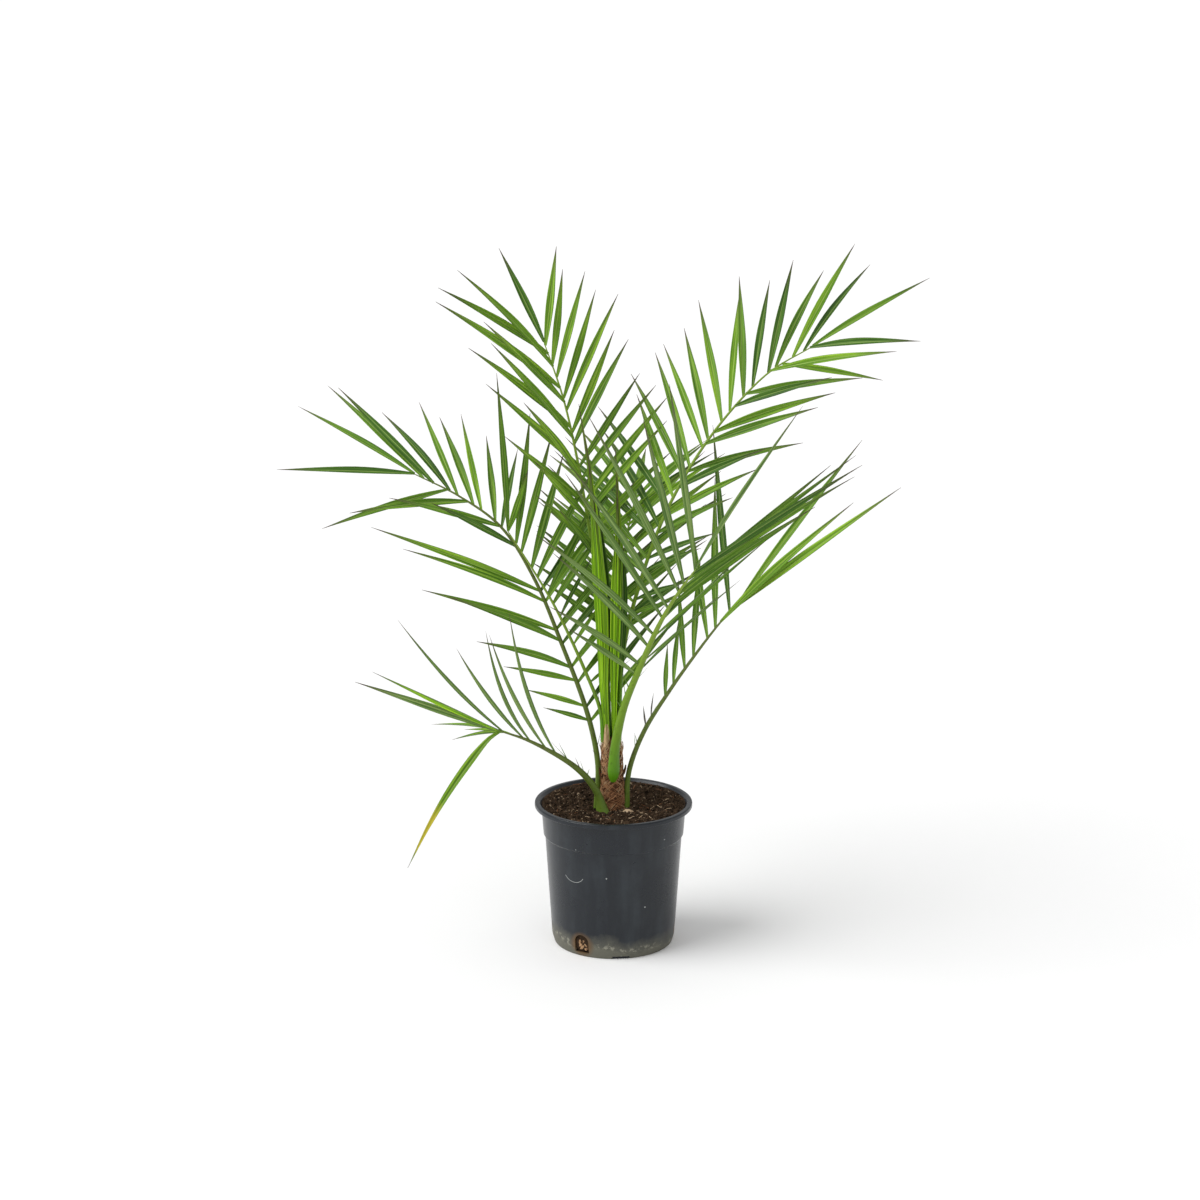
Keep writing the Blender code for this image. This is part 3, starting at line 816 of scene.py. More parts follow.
@dataclass(frozen=True)
class Row:
    """Leaflets along one side of a rib.

    Angles are in degrees and lengths in mm, first and last leaflet; first and last are fractions
    of the rib. side is +1 left of the rib looking outwards. roll turns a leaflet about itself,
    stray is how many degrees it may stand off its row, and curl bends it away from the rib's way.
    """
    side: int
    count: int
    first: float
    last: float
    splay: Pair
    lift: float
    length: Pair
    bulge: float = 0.0
    roll: float = 0.0
    half_width: float = 4.6
    uneven: float = 0.06
    tones: tuple[Tone, ...] = (Tone.MIDDLE, Tone.DEEP)
    stray: float = 3.0
    curl: float = 0.0


@dataclass(frozen=True)
class EndLeaflet:
    """Leaflet at the tip of a rib: degrees off the rib, lift in degrees, length in mm."""
    angle: float
    lift: float
    length: float
    tone: Tone = Tone.MIDDLE
    roll: float = 0.0


@dataclass
class Frond:
    """One frond: the path of its rib, its rows of leaflets, and the nodes it stands for."""
    name: str
    azimuth: float
    foot: Pair
    foot_radius: float
    path: tuple[Pair, ...]
    rows: tuple[Row, ...]
    ends: tuple[EndLeaflet, ...]
    stalk: StalkFinish
    seed: int
    blades: tuple[str, ...] = ()
    flare: float = 1.15
    round_foot: bool = False
    spines: tuple[float, float, int] = (0.12, 0.42, 5)
    sag: float = 0.02
    fold: float = 0.75
    points: list[Vector] = field(default_factory=list)

    SAMPLES = 121
    MIDRIB_POINTS = 15
    TIP_RADIUS = 0.7
    DRY_TIP = 0.05
    PAIRING = 0.28
    END_HALF_WIDTH = 4.6
    RIB_RINGS = 64
    RIB_SIDES = 14

    def __post_init__(self) -> None:
        """Work out the rib's points, in mm."""
        turn = math.radians(self.azimuth)
        out = Vector((math.cos(turn), math.sin(turn), 0.0))
        self.left = Vector((-math.sin(turn), math.cos(turn), 0.0))
        foot = Vector((*self.foot, 0.0))
        flat = smooth_path([(reach, height, 0.0) for reach, height in self.path], self.SAMPLES)
        self.points = [foot + out * place.x + UP * place.y for place in flat]
        self.draw = random.Random(self.seed)

    def girth(self, u: float) -> float:
        """Radius of the rib at a fraction of it, in mm."""
        flare = 1 + (self.flare - 1) * max(1 - u / 0.12, 0.0) ** 1.5
        start = min(1.0, math.sqrt(0.08 + u / 0.05)) if self.round_foot else 1.0
        return self.foot_radius * flare * start * (1 - u) ** 0.75 + self.TIP_RADIUS

    def frame(self, u: float) -> tuple[Vector, Vector, Vector, Vector]:
        """Point, direction, left side and upper face of the rib at a fraction of it."""
        place = u * (self.SAMPLES - 1)
        span = min(int(place), self.SAMPLES - 2)
        point = self.points[span].lerp(self.points[span + 1], place - span)
        ahead = self.points[min(span + 4, self.SAMPLES - 1)]
        along = (ahead - self.points[max(span - 3, 0)]).normalized()
        upper = along.cross(self.left)
        if upper.z < 0:
            upper.negate()
        return point, along, self.left, upper

    def midrib(self, u: float, angle: float, lift: float, length: float, sag: float,
               curl: float = 0.0) -> tuple[list[Vector], Vector]:
        """Middle line of a leaflet.

        Args:
            u: Fraction of the rib where it grows.
            angle: Degrees off the rib, positive to the left.
            lift: Degrees towards the rib's upper face.
            length: Length in mm.
            sag: Rise of its middle over the straight line, as a part of its length.
            curl: Bend away from the rib's own direction, as a part of its length.

        Returns:
            Its points, in mm, and the normal of its upper face.
        """
        point, along, left, upper = self.frame(u)
        away, raised = math.radians(abs(angle)), math.radians(lift)
        side = 1 if angle >= 0 else -1
        across = math.cos(raised) * side * left + math.sin(raised) * upper
        face = (math.cos(raised) * upper - math.sin(raised) * side * left).normalized()
        heading = math.cos(away) * along + math.sin(away) * across
        level = UP - heading * UP.dot(heading)
        swerve = along - heading * along.dot(heading)
        line = []
        for step in range(self.MIDRIB_POINTS):
            t = step / (self.MIDRIB_POINTS - 1)
            bow = 4 * t * (1 - t) * (1.2 - 0.4 * t)
            place = point + heading * length * t
            place += level * length * sag * bow + swerve * length * curl * bow
            line.append(place)
        return line, face

    def leaflets(self) -> Iterable[tuple[list[Vector], Vector, float, float, Tone]]:
        """Every leaflet: its midrib, face, roll, half width and tone."""
        draw = self.draw
        for row in self.rows:
            for index in range(row.count):
                t = index / (row.count - 1) if row.count > 1 else 0.0
                splay = row.splay[0] + (row.splay[1] - row.splay[0]) * t + draw.uniform(-1, 1) * row.stray
                length = row.length[0] + (row.length[1] - row.length[0]) * t + row.bulge * 4 * t * (1 - t)
                length *= 1 + draw.uniform(-row.uneven, row.uneven)
                lift = row.lift + (-1) ** index * 1.5 * row.stray + draw.uniform(-1, 1) * row.stray
                pitch = (row.last - row.first) / max(row.count - 1, 1)
                u = row.first + pitch * (index - self.PAIRING * (index % 2))
                u += draw.uniform(-0.1, 0.1) * pitch
                sag, curl = self.sag * draw.uniform(0.3, 1.5), row.curl * draw.uniform(0.6, 1.4)
                line, face = self.midrib(min(u, 1.0), row.side * splay, lift, length, sag, curl)
                width = row.half_width * min(1.0, 0.45 + length / 260) * draw.uniform(0.92, 1.08)
                yield line, face, row.roll + draw.uniform(-12, 12), width, draw.choice(row.tones)
        for end in self.ends:
            line, face = self.midrib(1.0, end.angle, end.lift, end.length, self.sag * 0.4)
            yield line, face, end.roll, self.END_HALF_WIDTH, end.tone

    def spine_lines(self) -> Iterable[tuple[list[Vector], Vector, float, float, Tone]]:
        """Thin spines along the stalk, below the first leaflets."""
        first, last, count = self.spines
        for index in range(count):
            for side in (-1, 1):
                u = first + (last - first) * (index + 0.3 * side) / max(count, 1)
                length = 10 + 26 * index / max(count, 1) + self.draw.uniform(-4, 6)
                line, face = self.midrib(max(u, 0.03), side * self.draw.uniform(24, 50),
                                         self.draw.uniform(-10, 45), length, 0.01)
                tone = Tone.DRY if self.draw.random() < 0.4 else Tone.MIDDLE
                yield line, face, 0.0, 0.9, tone


class Midribs:
    """Collects leaflet midribs into one mesh of edges with their widths and tones."""

    def __init__(self) -> None:
        """Start with no midribs."""
        self.verts: list[Vector] = []
        self.edges: list[tuple[int, int]] = []
        self.width: list[float] = []
        self.across: list[Vector] = []
        self.tone: list[float] = []
        self.place: list[float] = []
        self.strip: list[float] = []

    @staticmethod
    def taper(t: float) -> float:
        """Half width at a fraction of a leaflet, as a part of its widest."""
        rise = 0.34 + 0.66 * math.sin(min(t / 0.40, 1.0) * math.pi / 2)
        fall = 1.0 if t < 0.44 else max(0.04, 1 - ((t - 0.44) / 0.56) ** 1.3)
        return rise * fall

    def add(self, line: Sequence[Vector], face: Vector, roll: float, width: float, tone: Tone,
            dry_tip: float, taper: Callable[[float], float] | None = None) -> None:
        """Add a leaflet, cut where its dry tip starts.

        Args:
            line: Points of its midrib, in mm.
            face: Normal of its upper face.
            roll: Degrees that it is turned about its midrib.
            width: Widest half width, in mm.
            tone: Its tissue.
            dry_tip: Part of its length that is dry.
            taper: Half width along it, in place of a leaflet's own.
        """
        taper = taper or self.taper
        last = len(line) - 1
        cut = round(last * (1 - dry_tip)) if dry_tip > 0 else last
        self.run(line, 0, cut, face, roll, width, tone, taper)
        if cut < last:
            self.run(line, cut, last, face, roll, width, Tone.DRY, taper)

    def run(self, line: Sequence[Vector], first: int, last: int, face: Vector, roll: float,
            width: float, tone: Tone, taper: Callable[[float], float]) -> None:
        """Add the stretch of a midrib between two of its points."""
        base = len(self.verts)
        for index in range(first, last + 1):
            along = (line[min(index + 1, len(line) - 1)] - line[max(index - 1, 0)]).normalized()
            across = face.cross(along).normalized()
            across = Matrix.Rotation(math.radians(roll), 3, along) @ across
            self.verts.append(line[index] * MM)
            self.width.append(width * MM * taper(index / (len(line) - 1)))
            self.across.append(across)
            self.tone.append(float(tone.value))
            self.place.append(index / (len(line) - 1))
            self.strip.append(line[0].x * 0.37 + line[0].z * 0.11)
        self.edges += [(base + step, base + step + 1) for step in range(last - first)]

    def piece(self, name: str) -> bpy.types.Object:
        """Make the mesh of edges."""
        made = mesh_object(name, self.verts, [], self.edges)
        for label, values in (("half_width", self.width), ("tone", self.tone),
                              (LeafFinish.ALONG, self.place), (LeafFinish.STRIP, self.strip)):
            made.data.attributes.new(label, "FLOAT", "POINT").data.foreach_set("value", values)
        flat = [part for across in self.across for part in across]
        made.data.attributes.new("across", "FLOAT_VECTOR", "POINT").data.foreach_set("vector", flat)
        return made


YOUNG_STALK = StalkFinish("young_stalk", (0.085, 0.265, 0.005), (0.150, 0.275, 0.016),
                          (0.225, 0.330, 0.045))
OLD_STALK = StalkFinish("old_stalk", (0.125, 0.205, 0.026), (0.105, 0.155, 0.026),
                        (0.130, 0.165, 0.040))

FRESH = (Tone.FRESH, Tone.FRESH, Tone.MIDDLE)
MIXED = (Tone.FRESH, Tone.MIDDLE, Tone.MIDDLE, Tone.DEEP)
DARK = (Tone.MIDDLE, Tone.MIDDLE, Tone.DEEP)


def crown() -> tuple[Frond, ...]:
    """The fronds, with their feet where the frame's stalks stand."""
    return (
        Frond("tall_left_frond", 130, (-6.0, 5.0), 2.8,
              ((0, 250.5), (4, 350), (14, 421), (36, 505), (58, 585), (84, 655), (120, 718)),
              (Row(+1, 12, 0.46, 0.985, (52, 58), 20, (98, 178), 40, -42, 4.8, 0.08, FRESH, 3.5),
               Row(-1, 13, 0.48, 0.99, (60, 27), 10, (168, 140), 6, -10, 4.7, 0.08, FRESH, 3.0)),
              (EndLeaflet(8, 0, 126, Tone.DEEP, -30),), YOUNG_STALK, 11,
              ("tall_left_frond_blade",), spines=(0.2, 0.42, 4)),
        Frond("tall_right_frond", 25, (5.5, 1.0), 2.8,
              ((0, 250.5), (5, 350), (24, 430), (62, 525), (118, 609), (190, 678), (257, 711)),
              (Row(+1, 4, 0.27, 0.42, (78, 74), 15, (120, 200), 0, 20, 4.3, 0.1, MIXED),
               Row(+1, 16, 0.45, 0.985, (70, 32), 15, (222, 224), -30, 28, 4.6, 0.1, MIXED, 4.5),
               Row(-1, 4, 0.28, 0.42, (60, 52), -30, (70, 95), 0, 15, 4.2, 0.1, MIXED),
               Row(-1, 11, 0.46, 0.99, (44, 42), -30, (106, 132), 20, 22, 4.7, 0.14, MIXED, 5.5)),
              (EndLeaflet(1, 0, 178, Tone.MIDDLE, 35),), YOUNG_STALK, 12,
              ("tall_right_frond_blade",), spines=(0.12, 0.27, 3)),
        Frond("wide_left_frond", 160, (-20.0, 0.0), 3.5,
              ((0, 166.5), (-1, 225), (14, 290), (45, 368), (78, 442), (120, 503), (175, 538),
               (233, 561)),
              (Row(+1, 8, 0.22, 0.58, (60, 46), -45, (64, 212), 0, 5, 4.4, 0.08, FRESH, 4.0),
               Row(+1, 4, 0.68, 0.94, (30, 48), -45, (110, 155), 0, -10, 4.5, 0.1, DARK, 3.0),
               Row(-1, 8, 0.22, 0.58, (60, 64), 50, (170, 190), 0, -10, 4.5, 0.08, MIXED, 4.0),
               Row(-1, 8, 0.74, 0.98, (50, 18), 50, (108, 172), 0, -10, 4.4, 0.1, MIXED, 5.0)),
              (EndLeaflet(26, -45, 166, Tone.DEEP), EndLeaflet(-6, 30, 175)), OLD_STALK, 13,
              ("wide_left_frond_lower_blade", "wide_left_frond_upper_blade"), spines=(0.08, 0.2, 3)),
        Frond("inner_left_frond", 188, (-12.5, -1.5), 2.4,
              ((0, 250.5), (4, 292), (22, 340), (40, 382), (60, 424), (84, 466), (113, 513)),
              (Row(-1, 6, 0.26, 0.60, (80, 66), 65, (24, 95), 0, -15, 3.4, 0.1, MIXED, 4.0),
               Row(-1, 6, 0.64, 0.96, (72, 50), 65, (115, 165), 10, -15, 5.2, 0.1, DARK, 4.0)),
              (EndLeaflet(-32, 65, 185), EndLeaflet(-57, 65, 77, Tone.FRESH)), YOUNG_STALK, 14,
              ("inner_left_frond_blade",), spines=(0.1, 0.25, 2)),
        Frond("front_right_frond", -45, (-1.0, -18.4), 6.0,
              ((1, 206), (4, 250), (18, 301), (42, 351), (74, 411), (104, 455), (133, 490)),
              (Row(+1, 5, 0.48, 0.72, (32, 28), -15, (150, 190), 0, 205, 3.8, 0.12, DARK, 2.5),
               Row(+1, 6, 0.76, 0.99, (28, 24), -15, (205, 250), 0, 150, 4.6, 0.1, DARK, 3.5),
               Row(-1, 9, 0.46, 1.0, (68, 38), 40, (104, 262), 45, 10, 4.2, 0.05, MIXED, 4.0)),
              (EndLeaflet(-6, 0, 284),), YOUNG_STALK, 15,
              ("front_right_frond_blade",), 1.3, True, (0.22, 0.44, 5)),
        Frond("low_right_frond", 0, (15.0, 0.0), 3.5,
              ((0, 166.5), (4, 215), (22, 264), (52, 314), (82, 358), (110, 396), (136, 426)),
              (Row(+1, 7, 0.50, 0.94, (40, 56), 40, (66, 240), -20, 20, 4.4, 0.08, DARK, 3.5),
               Row(-1, 2, 0.88, 0.97, (13, 16), -30, (216, 263), 0, 30, 4.6, 0.03, MIXED, 1.5),
               Row(+1, 2, 0.35, 0.42, (40, 46), 40, (26, 36), 0, 10, 2.4, 0.1, (Tone.DEAD,), 6.0)),
              (EndLeaflet(7, 40, 236, Tone.MIDDLE, 20),), OLD_STALK, 16,
              ("low_right_frond_blade",), 1.35, spines=(0.12, 0.46, 6)),
        Frond("low_left_frond", 204, (-13.0, -15.0), 5.0,
              ((0, 166.5), (6, 189), (20, 211), (40, 231), (68, 251), (100, 270), (132, 284)),
              (Row(+1, 5, 0.56, 0.96, (36, 30), 65, (190, 196), -10, 0, 2.5, 0.12, FRESH, 5.0, 0.08),
               Row(-1, 3, 0.92, 1.0, (82, 71), -20, (94, 130), 0, -40, 4.2, 0.2, FRESH)),
              (EndLeaflet(8, 62, 187, Tone.VIVID, 150), EndLeaflet(-4, 10, 190, Tone.VIVID, 120)),
              OLD_STALK, 17, ("low_left_frond_blade",), 1.7, spines=(0.2, 0.5, 5)),
        Frond("rear_frond", 82, (0.0, 7.0), 2.6,
              ((0, 250.5), (12, 330), (40, 400), (85, 450), (140, 485), (200, 505)),
              (Row(+1, 13, 0.36, 0.98, (62, 40), 20, (110, 140), 25, -15, 4.6, 0.08, MIXED, 4.0),
               Row(-1, 13, 0.36, 0.98, (62, 40), 20, (110, 140), 25, 15, 4.6, 0.08, MIXED, 4.0)),
              (EndLeaflet(1, 0, 130),), YOUNG_STALK, 18,
              ("rear_frond_blade",), spines=(0.15, 0.34, 4)),
    )


@dataclass
class Crown:
    """All fronds, the two folded spears and the hanging leaflet."""
    fronds: tuple[Frond, ...]
    spear_depth: float = -4.5
    spears: dict[str, tuple[tuple[float, float], ...]] = field(default_factory=lambda: {
        "left_spear": ((-7, 250.5), (-11.5, 316), (-12.5, 369), (-16, 447), (-20, 504), (-28, 581),
                       (-41, 661)),
        "right_spear": ((1.5, 250.5), (1.5, 316), (3, 369), (5, 447), (5, 504), (3, 581), (1, 612)),
    })
    hanging: tuple[tuple[float, float, float], ...] = (
        (-134, -70, 283), (-150, -75, 271), (-187, -76, 220), (-217, -76, 170), (-244, -76, 117))
    spear_seed: int = 31
    strand_width: float = 4.6
    # Strands are (end, shift, depth, tone). The last one is painted shade: a dark DEEP strip set behind the
    # others that stands for the shadowed gap between the spear's folds.
    strands_and_shade_strip: tuple[tuple[float, float, float, Tone], ...] = (
        (1.0, 0.0, 1.6, Tone.VIVID), (0.9, 2.8, 0.5, Tone.FRESH), (0.84, -3.0, -0.6, Tone.VIVID),
        (0.72, 1.6, -1.7, Tone.VIVID), (0.8, 6.6, 6.0, Tone.DEEP))

    def __post_init__(self) -> None:
        """Make what the fronds share."""
        self.sweep = LeafletTree()
        self.materials = [LEAF_FINISHES[tone].make() for tone in Tone] + [UNDERSIDE.make()]
        self.stalks = {finish.name: finish.make() for finish in (YOUNG_STALK, OLD_STALK)}

    def build(self) -> None:
        """Build every piece of the crown."""
        for frond in self.fronds:
            self.stalk(frond)
            self.leaflets(frond)
        for name, sections in self.spears.items():
            self.spear(name, sections)
        self.hanging_leaflet()

    def stalk(self, frond: Frond) -> None:
        """Stalk and rib of one frond, in one piece from its foot to its tip."""
        places = [index / (frond.RIB_RINGS - 1) for index in range(frond.RIB_RINGS)]
        path = [frond.frame(u)[0] for u in places]
        radii = [frond.girth(u) for u in places]
        made = swept(f"{frond.name}_rib", path, radii, frond.RIB_SIDES,
                     lambda u: (1.25 - 0.35 * min(u / 0.3, 1.0), 0.85), frond.left)
        made.data.materials.append(self.stalks[frond.stalk.name])
        finished(made, [f"{frond.name}_stalk"])

    def leaflets(self, frond: Frond) -> None:
        """Leaflets and spines of one frond, in one piece."""
        midribs = Midribs()
        for line, face, roll, width, tone in frond.leaflets():
            midribs.add(line, face, roll, width, tone, frond.DRY_TIP)
        for line, face, roll, width, tone in frond.spine_lines():
            midribs.add(line, face, roll, width, tone, 0.0, lambda t: 1.0 - 0.9 * t)
        made = self.sweep.grow(midribs.piece(f"{frond.name}_leaflets"), frond.fold, self.materials)
        finished(made, list(frond.blades))

    def spear(self, name: str, sections: Sequence[tuple[float, float]]) -> None:
        """Bundle of folded leaflets that hasn't opened yet, with a dark strand set behind them as painted
        shade.
        """
        draw = random.Random(self.spear_seed + len(name))
        path = smooth_path([(x, self.spear_depth, height) for x, height in sections], 30)
        midribs = Midribs()
        for end, shift, depth, tone in self.strands_and_shade_strip:
            stop = round(end * (len(path) - 1))
            line = [place + Vector((shift * math.sin(math.pi * step / stop), depth, 0.0))
                    for step, place in enumerate(path[:stop + 1])]
            midribs.add(line, Vector((0.0, -1.0, 0.0)), draw.uniform(-30, 30), self.strand_width,
                        tone, 0.05, self.strand_taper)
        made = self.sweep.grow(midribs.piece(f"{name}_leaflets"), 1.1, self.materials)
        finished(made, [name])

    @staticmethod
    def strand_taper(t: float) -> float:
        """Half width of a folded strand at a fraction of it, as a part of its widest."""
        return (0.42 + 0.58 * min(t / 0.6, 1.0)) * max(0.05, 1 - max(t - 0.66, 0) / 0.35)

    def hanging_leaflet(self) -> None:
        """Folded leaflet that hangs down from the low left frond, with a yellow band."""
        line = smooth_path(self.hanging, 31)
        face = Vector((-0.35, -0.9, 0.25)).normalized()
        midribs = Midribs()
        midribs.add(line, face, 10.0, 5.0, Tone.YELLOW, 0.03,
                    lambda t: min(1.0, 0.35 + 3 * t) * max(0.05, 1 - (max(t - 0.3, 0) / 0.7) ** 1.5))
        made = self.sweep.grow(midribs.piece("hanging_leaflet_blade"), 0.8, self.materials)
        finished(made, ["hanging_leaflet"])


# Stem

@dataclass
class Stem:
    """Short fibrous stem with old sheaths, a ragged collar and dead stubs."""
    sections: tuple[tuple[float, float, float], ...] = (
        (-2.0, 160.0, 16.8), (-2.0, 170.0, 16.2), (-2.0, 182.0, 14.9), (-2.0, 196.0, 13.3),
        (-2.3, 215.0, 12.2), (-2.7, 235.0, 11.8), (-3.0, 244.0, 11.2), (-3.0, 250.0, 9.8),
        (-3.0, 256.0, 7.0))
    sides: int = 96
    rings: int = 120
    seed: int = 5

    def build(self) -> None:
        """Build the stem, its fibres and its stubs."""
        bark = EarthFinish("stem_fibre", (0.020, 0.010, 0.005), (0.190, 0.085, 0.040),
                           90.0, 0.35, 1.0).make()
        straw = EarthFinish("sheath_straw", (0.260, 0.150, 0.070), (0.640, 0.450, 0.270),
                            80.0, 0.3, 0.5).make()
        rust = EarthFinish("rust_fibre", (0.180, 0.075, 0.030), (0.500, 0.270, 0.140),
                           120.0, 0.5, 0.5).make()
        core = self.core()
        core.data.materials.append(bark)
        finished(core, ["stem"])
        self.mesh("stem_fibre_mesh", 520, (0.45, 0.95), rust, self.seed)
        self.mesh("stem_straw_fibres", 150, (0.1, 0.7), straw, self.seed + 1)
        self.collar(straw)
        self.stubs(bark)

    def radius(self, height: float) -> float:
        """Radius of the stem at a height, in mm."""
        for (_, low, wide), (_, high, narrow) in zip(self.sections, self.sections[1:]):
            if low <= height <= high:
                return wide + (narrow - wide) * (height - low) / (high - low)
        return self.sections[-1][2]

    @staticmethod
    def wrapped(middle: float, reach: float, angle: float, height: float) -> Vector:
        """Point at a reach and an angle round the stem, whose middle is off the pot's axis."""
        return Vector((middle + reach * math.cos(angle), reach * math.sin(angle), height))

    def mesh(self, name: str, count: int, slant: Pair, material: bpy.types.Material, seed: int) -> None:
        """Fibres that wrap the stem in two crossing ways.

        Args:
            name: The piece's name.
            count: Number of fibres.
            slant: Least and most turn of a fibre round the stem, in radians.
            material: The fibres' material.
            seed: Seed of the random draws.
        """
        draw = random.Random(seed)
        pieces = []
        for index in range(count):
            angle, height = draw.uniform(0, math.tau), draw.uniform(163, 240)
            turn = draw.uniform(*slant) * (1 if index % 2 else -1)
            rise = draw.uniform(4, 11)
            proud = draw.uniform(0.1, 1.0)
            steps = [step / 5 for step in range(6)]
            reaches = [self.radius(height + rise * t) + proud + 0.6 * math.sin(math.pi * t) for t in steps]
            line = [self.wrapped(-2.0, reach, angle + turn * t, height + rise * t)
                    for reach, t in zip(reaches, steps)]
            pieces.append(swept("fibre", line, [0.22, 0.36, 0.40, 0.36, 0.28, 0.14], 4))
        made = joined(name, pieces)
        made.data.materials.append(material)
        finished(made, [])

    def collar(self, straw: bpy.types.Material) -> None:
        """Ragged fibres round the stem's top, and the tan sheath of the left spear."""
        draw = random.Random(self.seed + 2)
        pieces = []
        for _ in range(90):
            angle, height = draw.uniform(0, math.tau), draw.uniform(232, 246)
            spread, rise = draw.uniform(-0.5, 0.5), draw.uniform(6, 13)
            steps = [step / 5 for step in range(6)]
            line = [self.wrapped(-2.5, self.radius(height) + 0.4 + draw.uniform(0, 0.4) + 2.4 * t * t,
                                 angle + spread * t, height + rise * t) for t in steps]
            pieces.append(swept("fibre", line, [0.3, 0.34, 0.3, 0.24, 0.18, 0.08], 5))
        sheath = [Vector((-8.2, -6.5, height)) for height in (234, 242, 250, 258, 266, 274)]
        pieces.append(swept("sheath", sheath, [3.0, 4.0, 3.8, 3.5, 3.0, 1.6], 12, lambda u: (1.0, 0.7)))
        made = joined("stem_collar", pieces)
        made.data.materials.append(straw)
        finished(made, [])

    def core(self) -> bpy.types.Object:
        """Stem body with the relief of wrapped fibrous sheaths."""
        even = smooth_path([(x, radius, height) for x, height, radius in self.sections], self.rings)
        verts = []
        for place in even:
            for side in range(self.sides):
                angle = math.tau * side / self.sides
                wrap = (place.z / 13.0 + angle / math.tau * 1.5) % 1.0
                grain = noise.noise(Vector((math.cos(angle) * 14, math.sin(angle) * 14, place.z * 0.06)))
                lump = noise.noise(Vector((math.cos(angle) * 2, math.sin(angle) * 2, place.z * 0.09)))
                radius = place.y * (1 + 0.05 * grain + 0.06 * lump) - 0.9 * wrap ** 2
                verts.append(self.wrapped(place.x, radius, angle, place.z) * MM)
        made = mesh_object("stem_body", verts, tube_faces(self.rings, self.sides))
        outward(made)
        smooth(made, 50.0)
        return made

    def stubs(self, bark: bpy.types.Material) -> None:
        """Dead stubs of old leaf stalks on both sides of the stem."""
        pieces = []
        for azimuth, low, high, reach in ((188, 196, 226, 5.5), (-12, 204, 222, 6.0), (60, 190, 220, 5.0),
                                          (125, 200, 230, 5.0), (-100, 172, 190, 4.0)):
            turn = math.radians(azimuth)
            out = Vector((math.cos(turn), math.sin(turn), 0.0))
            foot = Vector((-2.0, 0.0, low)) + out * 9.5
            tip = Vector((-2.0, 0.0, high)) + out * (11.0 + reach)
            line = [foot.lerp(tip, t) + out * (1.6 * math.sin(math.pi * t))
                    for t in (0, 0.25, 0.5, 0.75, 1.0)]
            left = Vector((-out.y, out.x, 0.0))
            pieces.append(swept("stub", line, [3.6, 3.4, 2.9, 2.2, 1.2], 10,
                                lambda u: (1.5 - u * 0.6, 0.6), left))
        made = joined("old_stalk_stubs", pieces)
        made.data.materials.append(bark)
        finished(made, [])


# Pot and soil

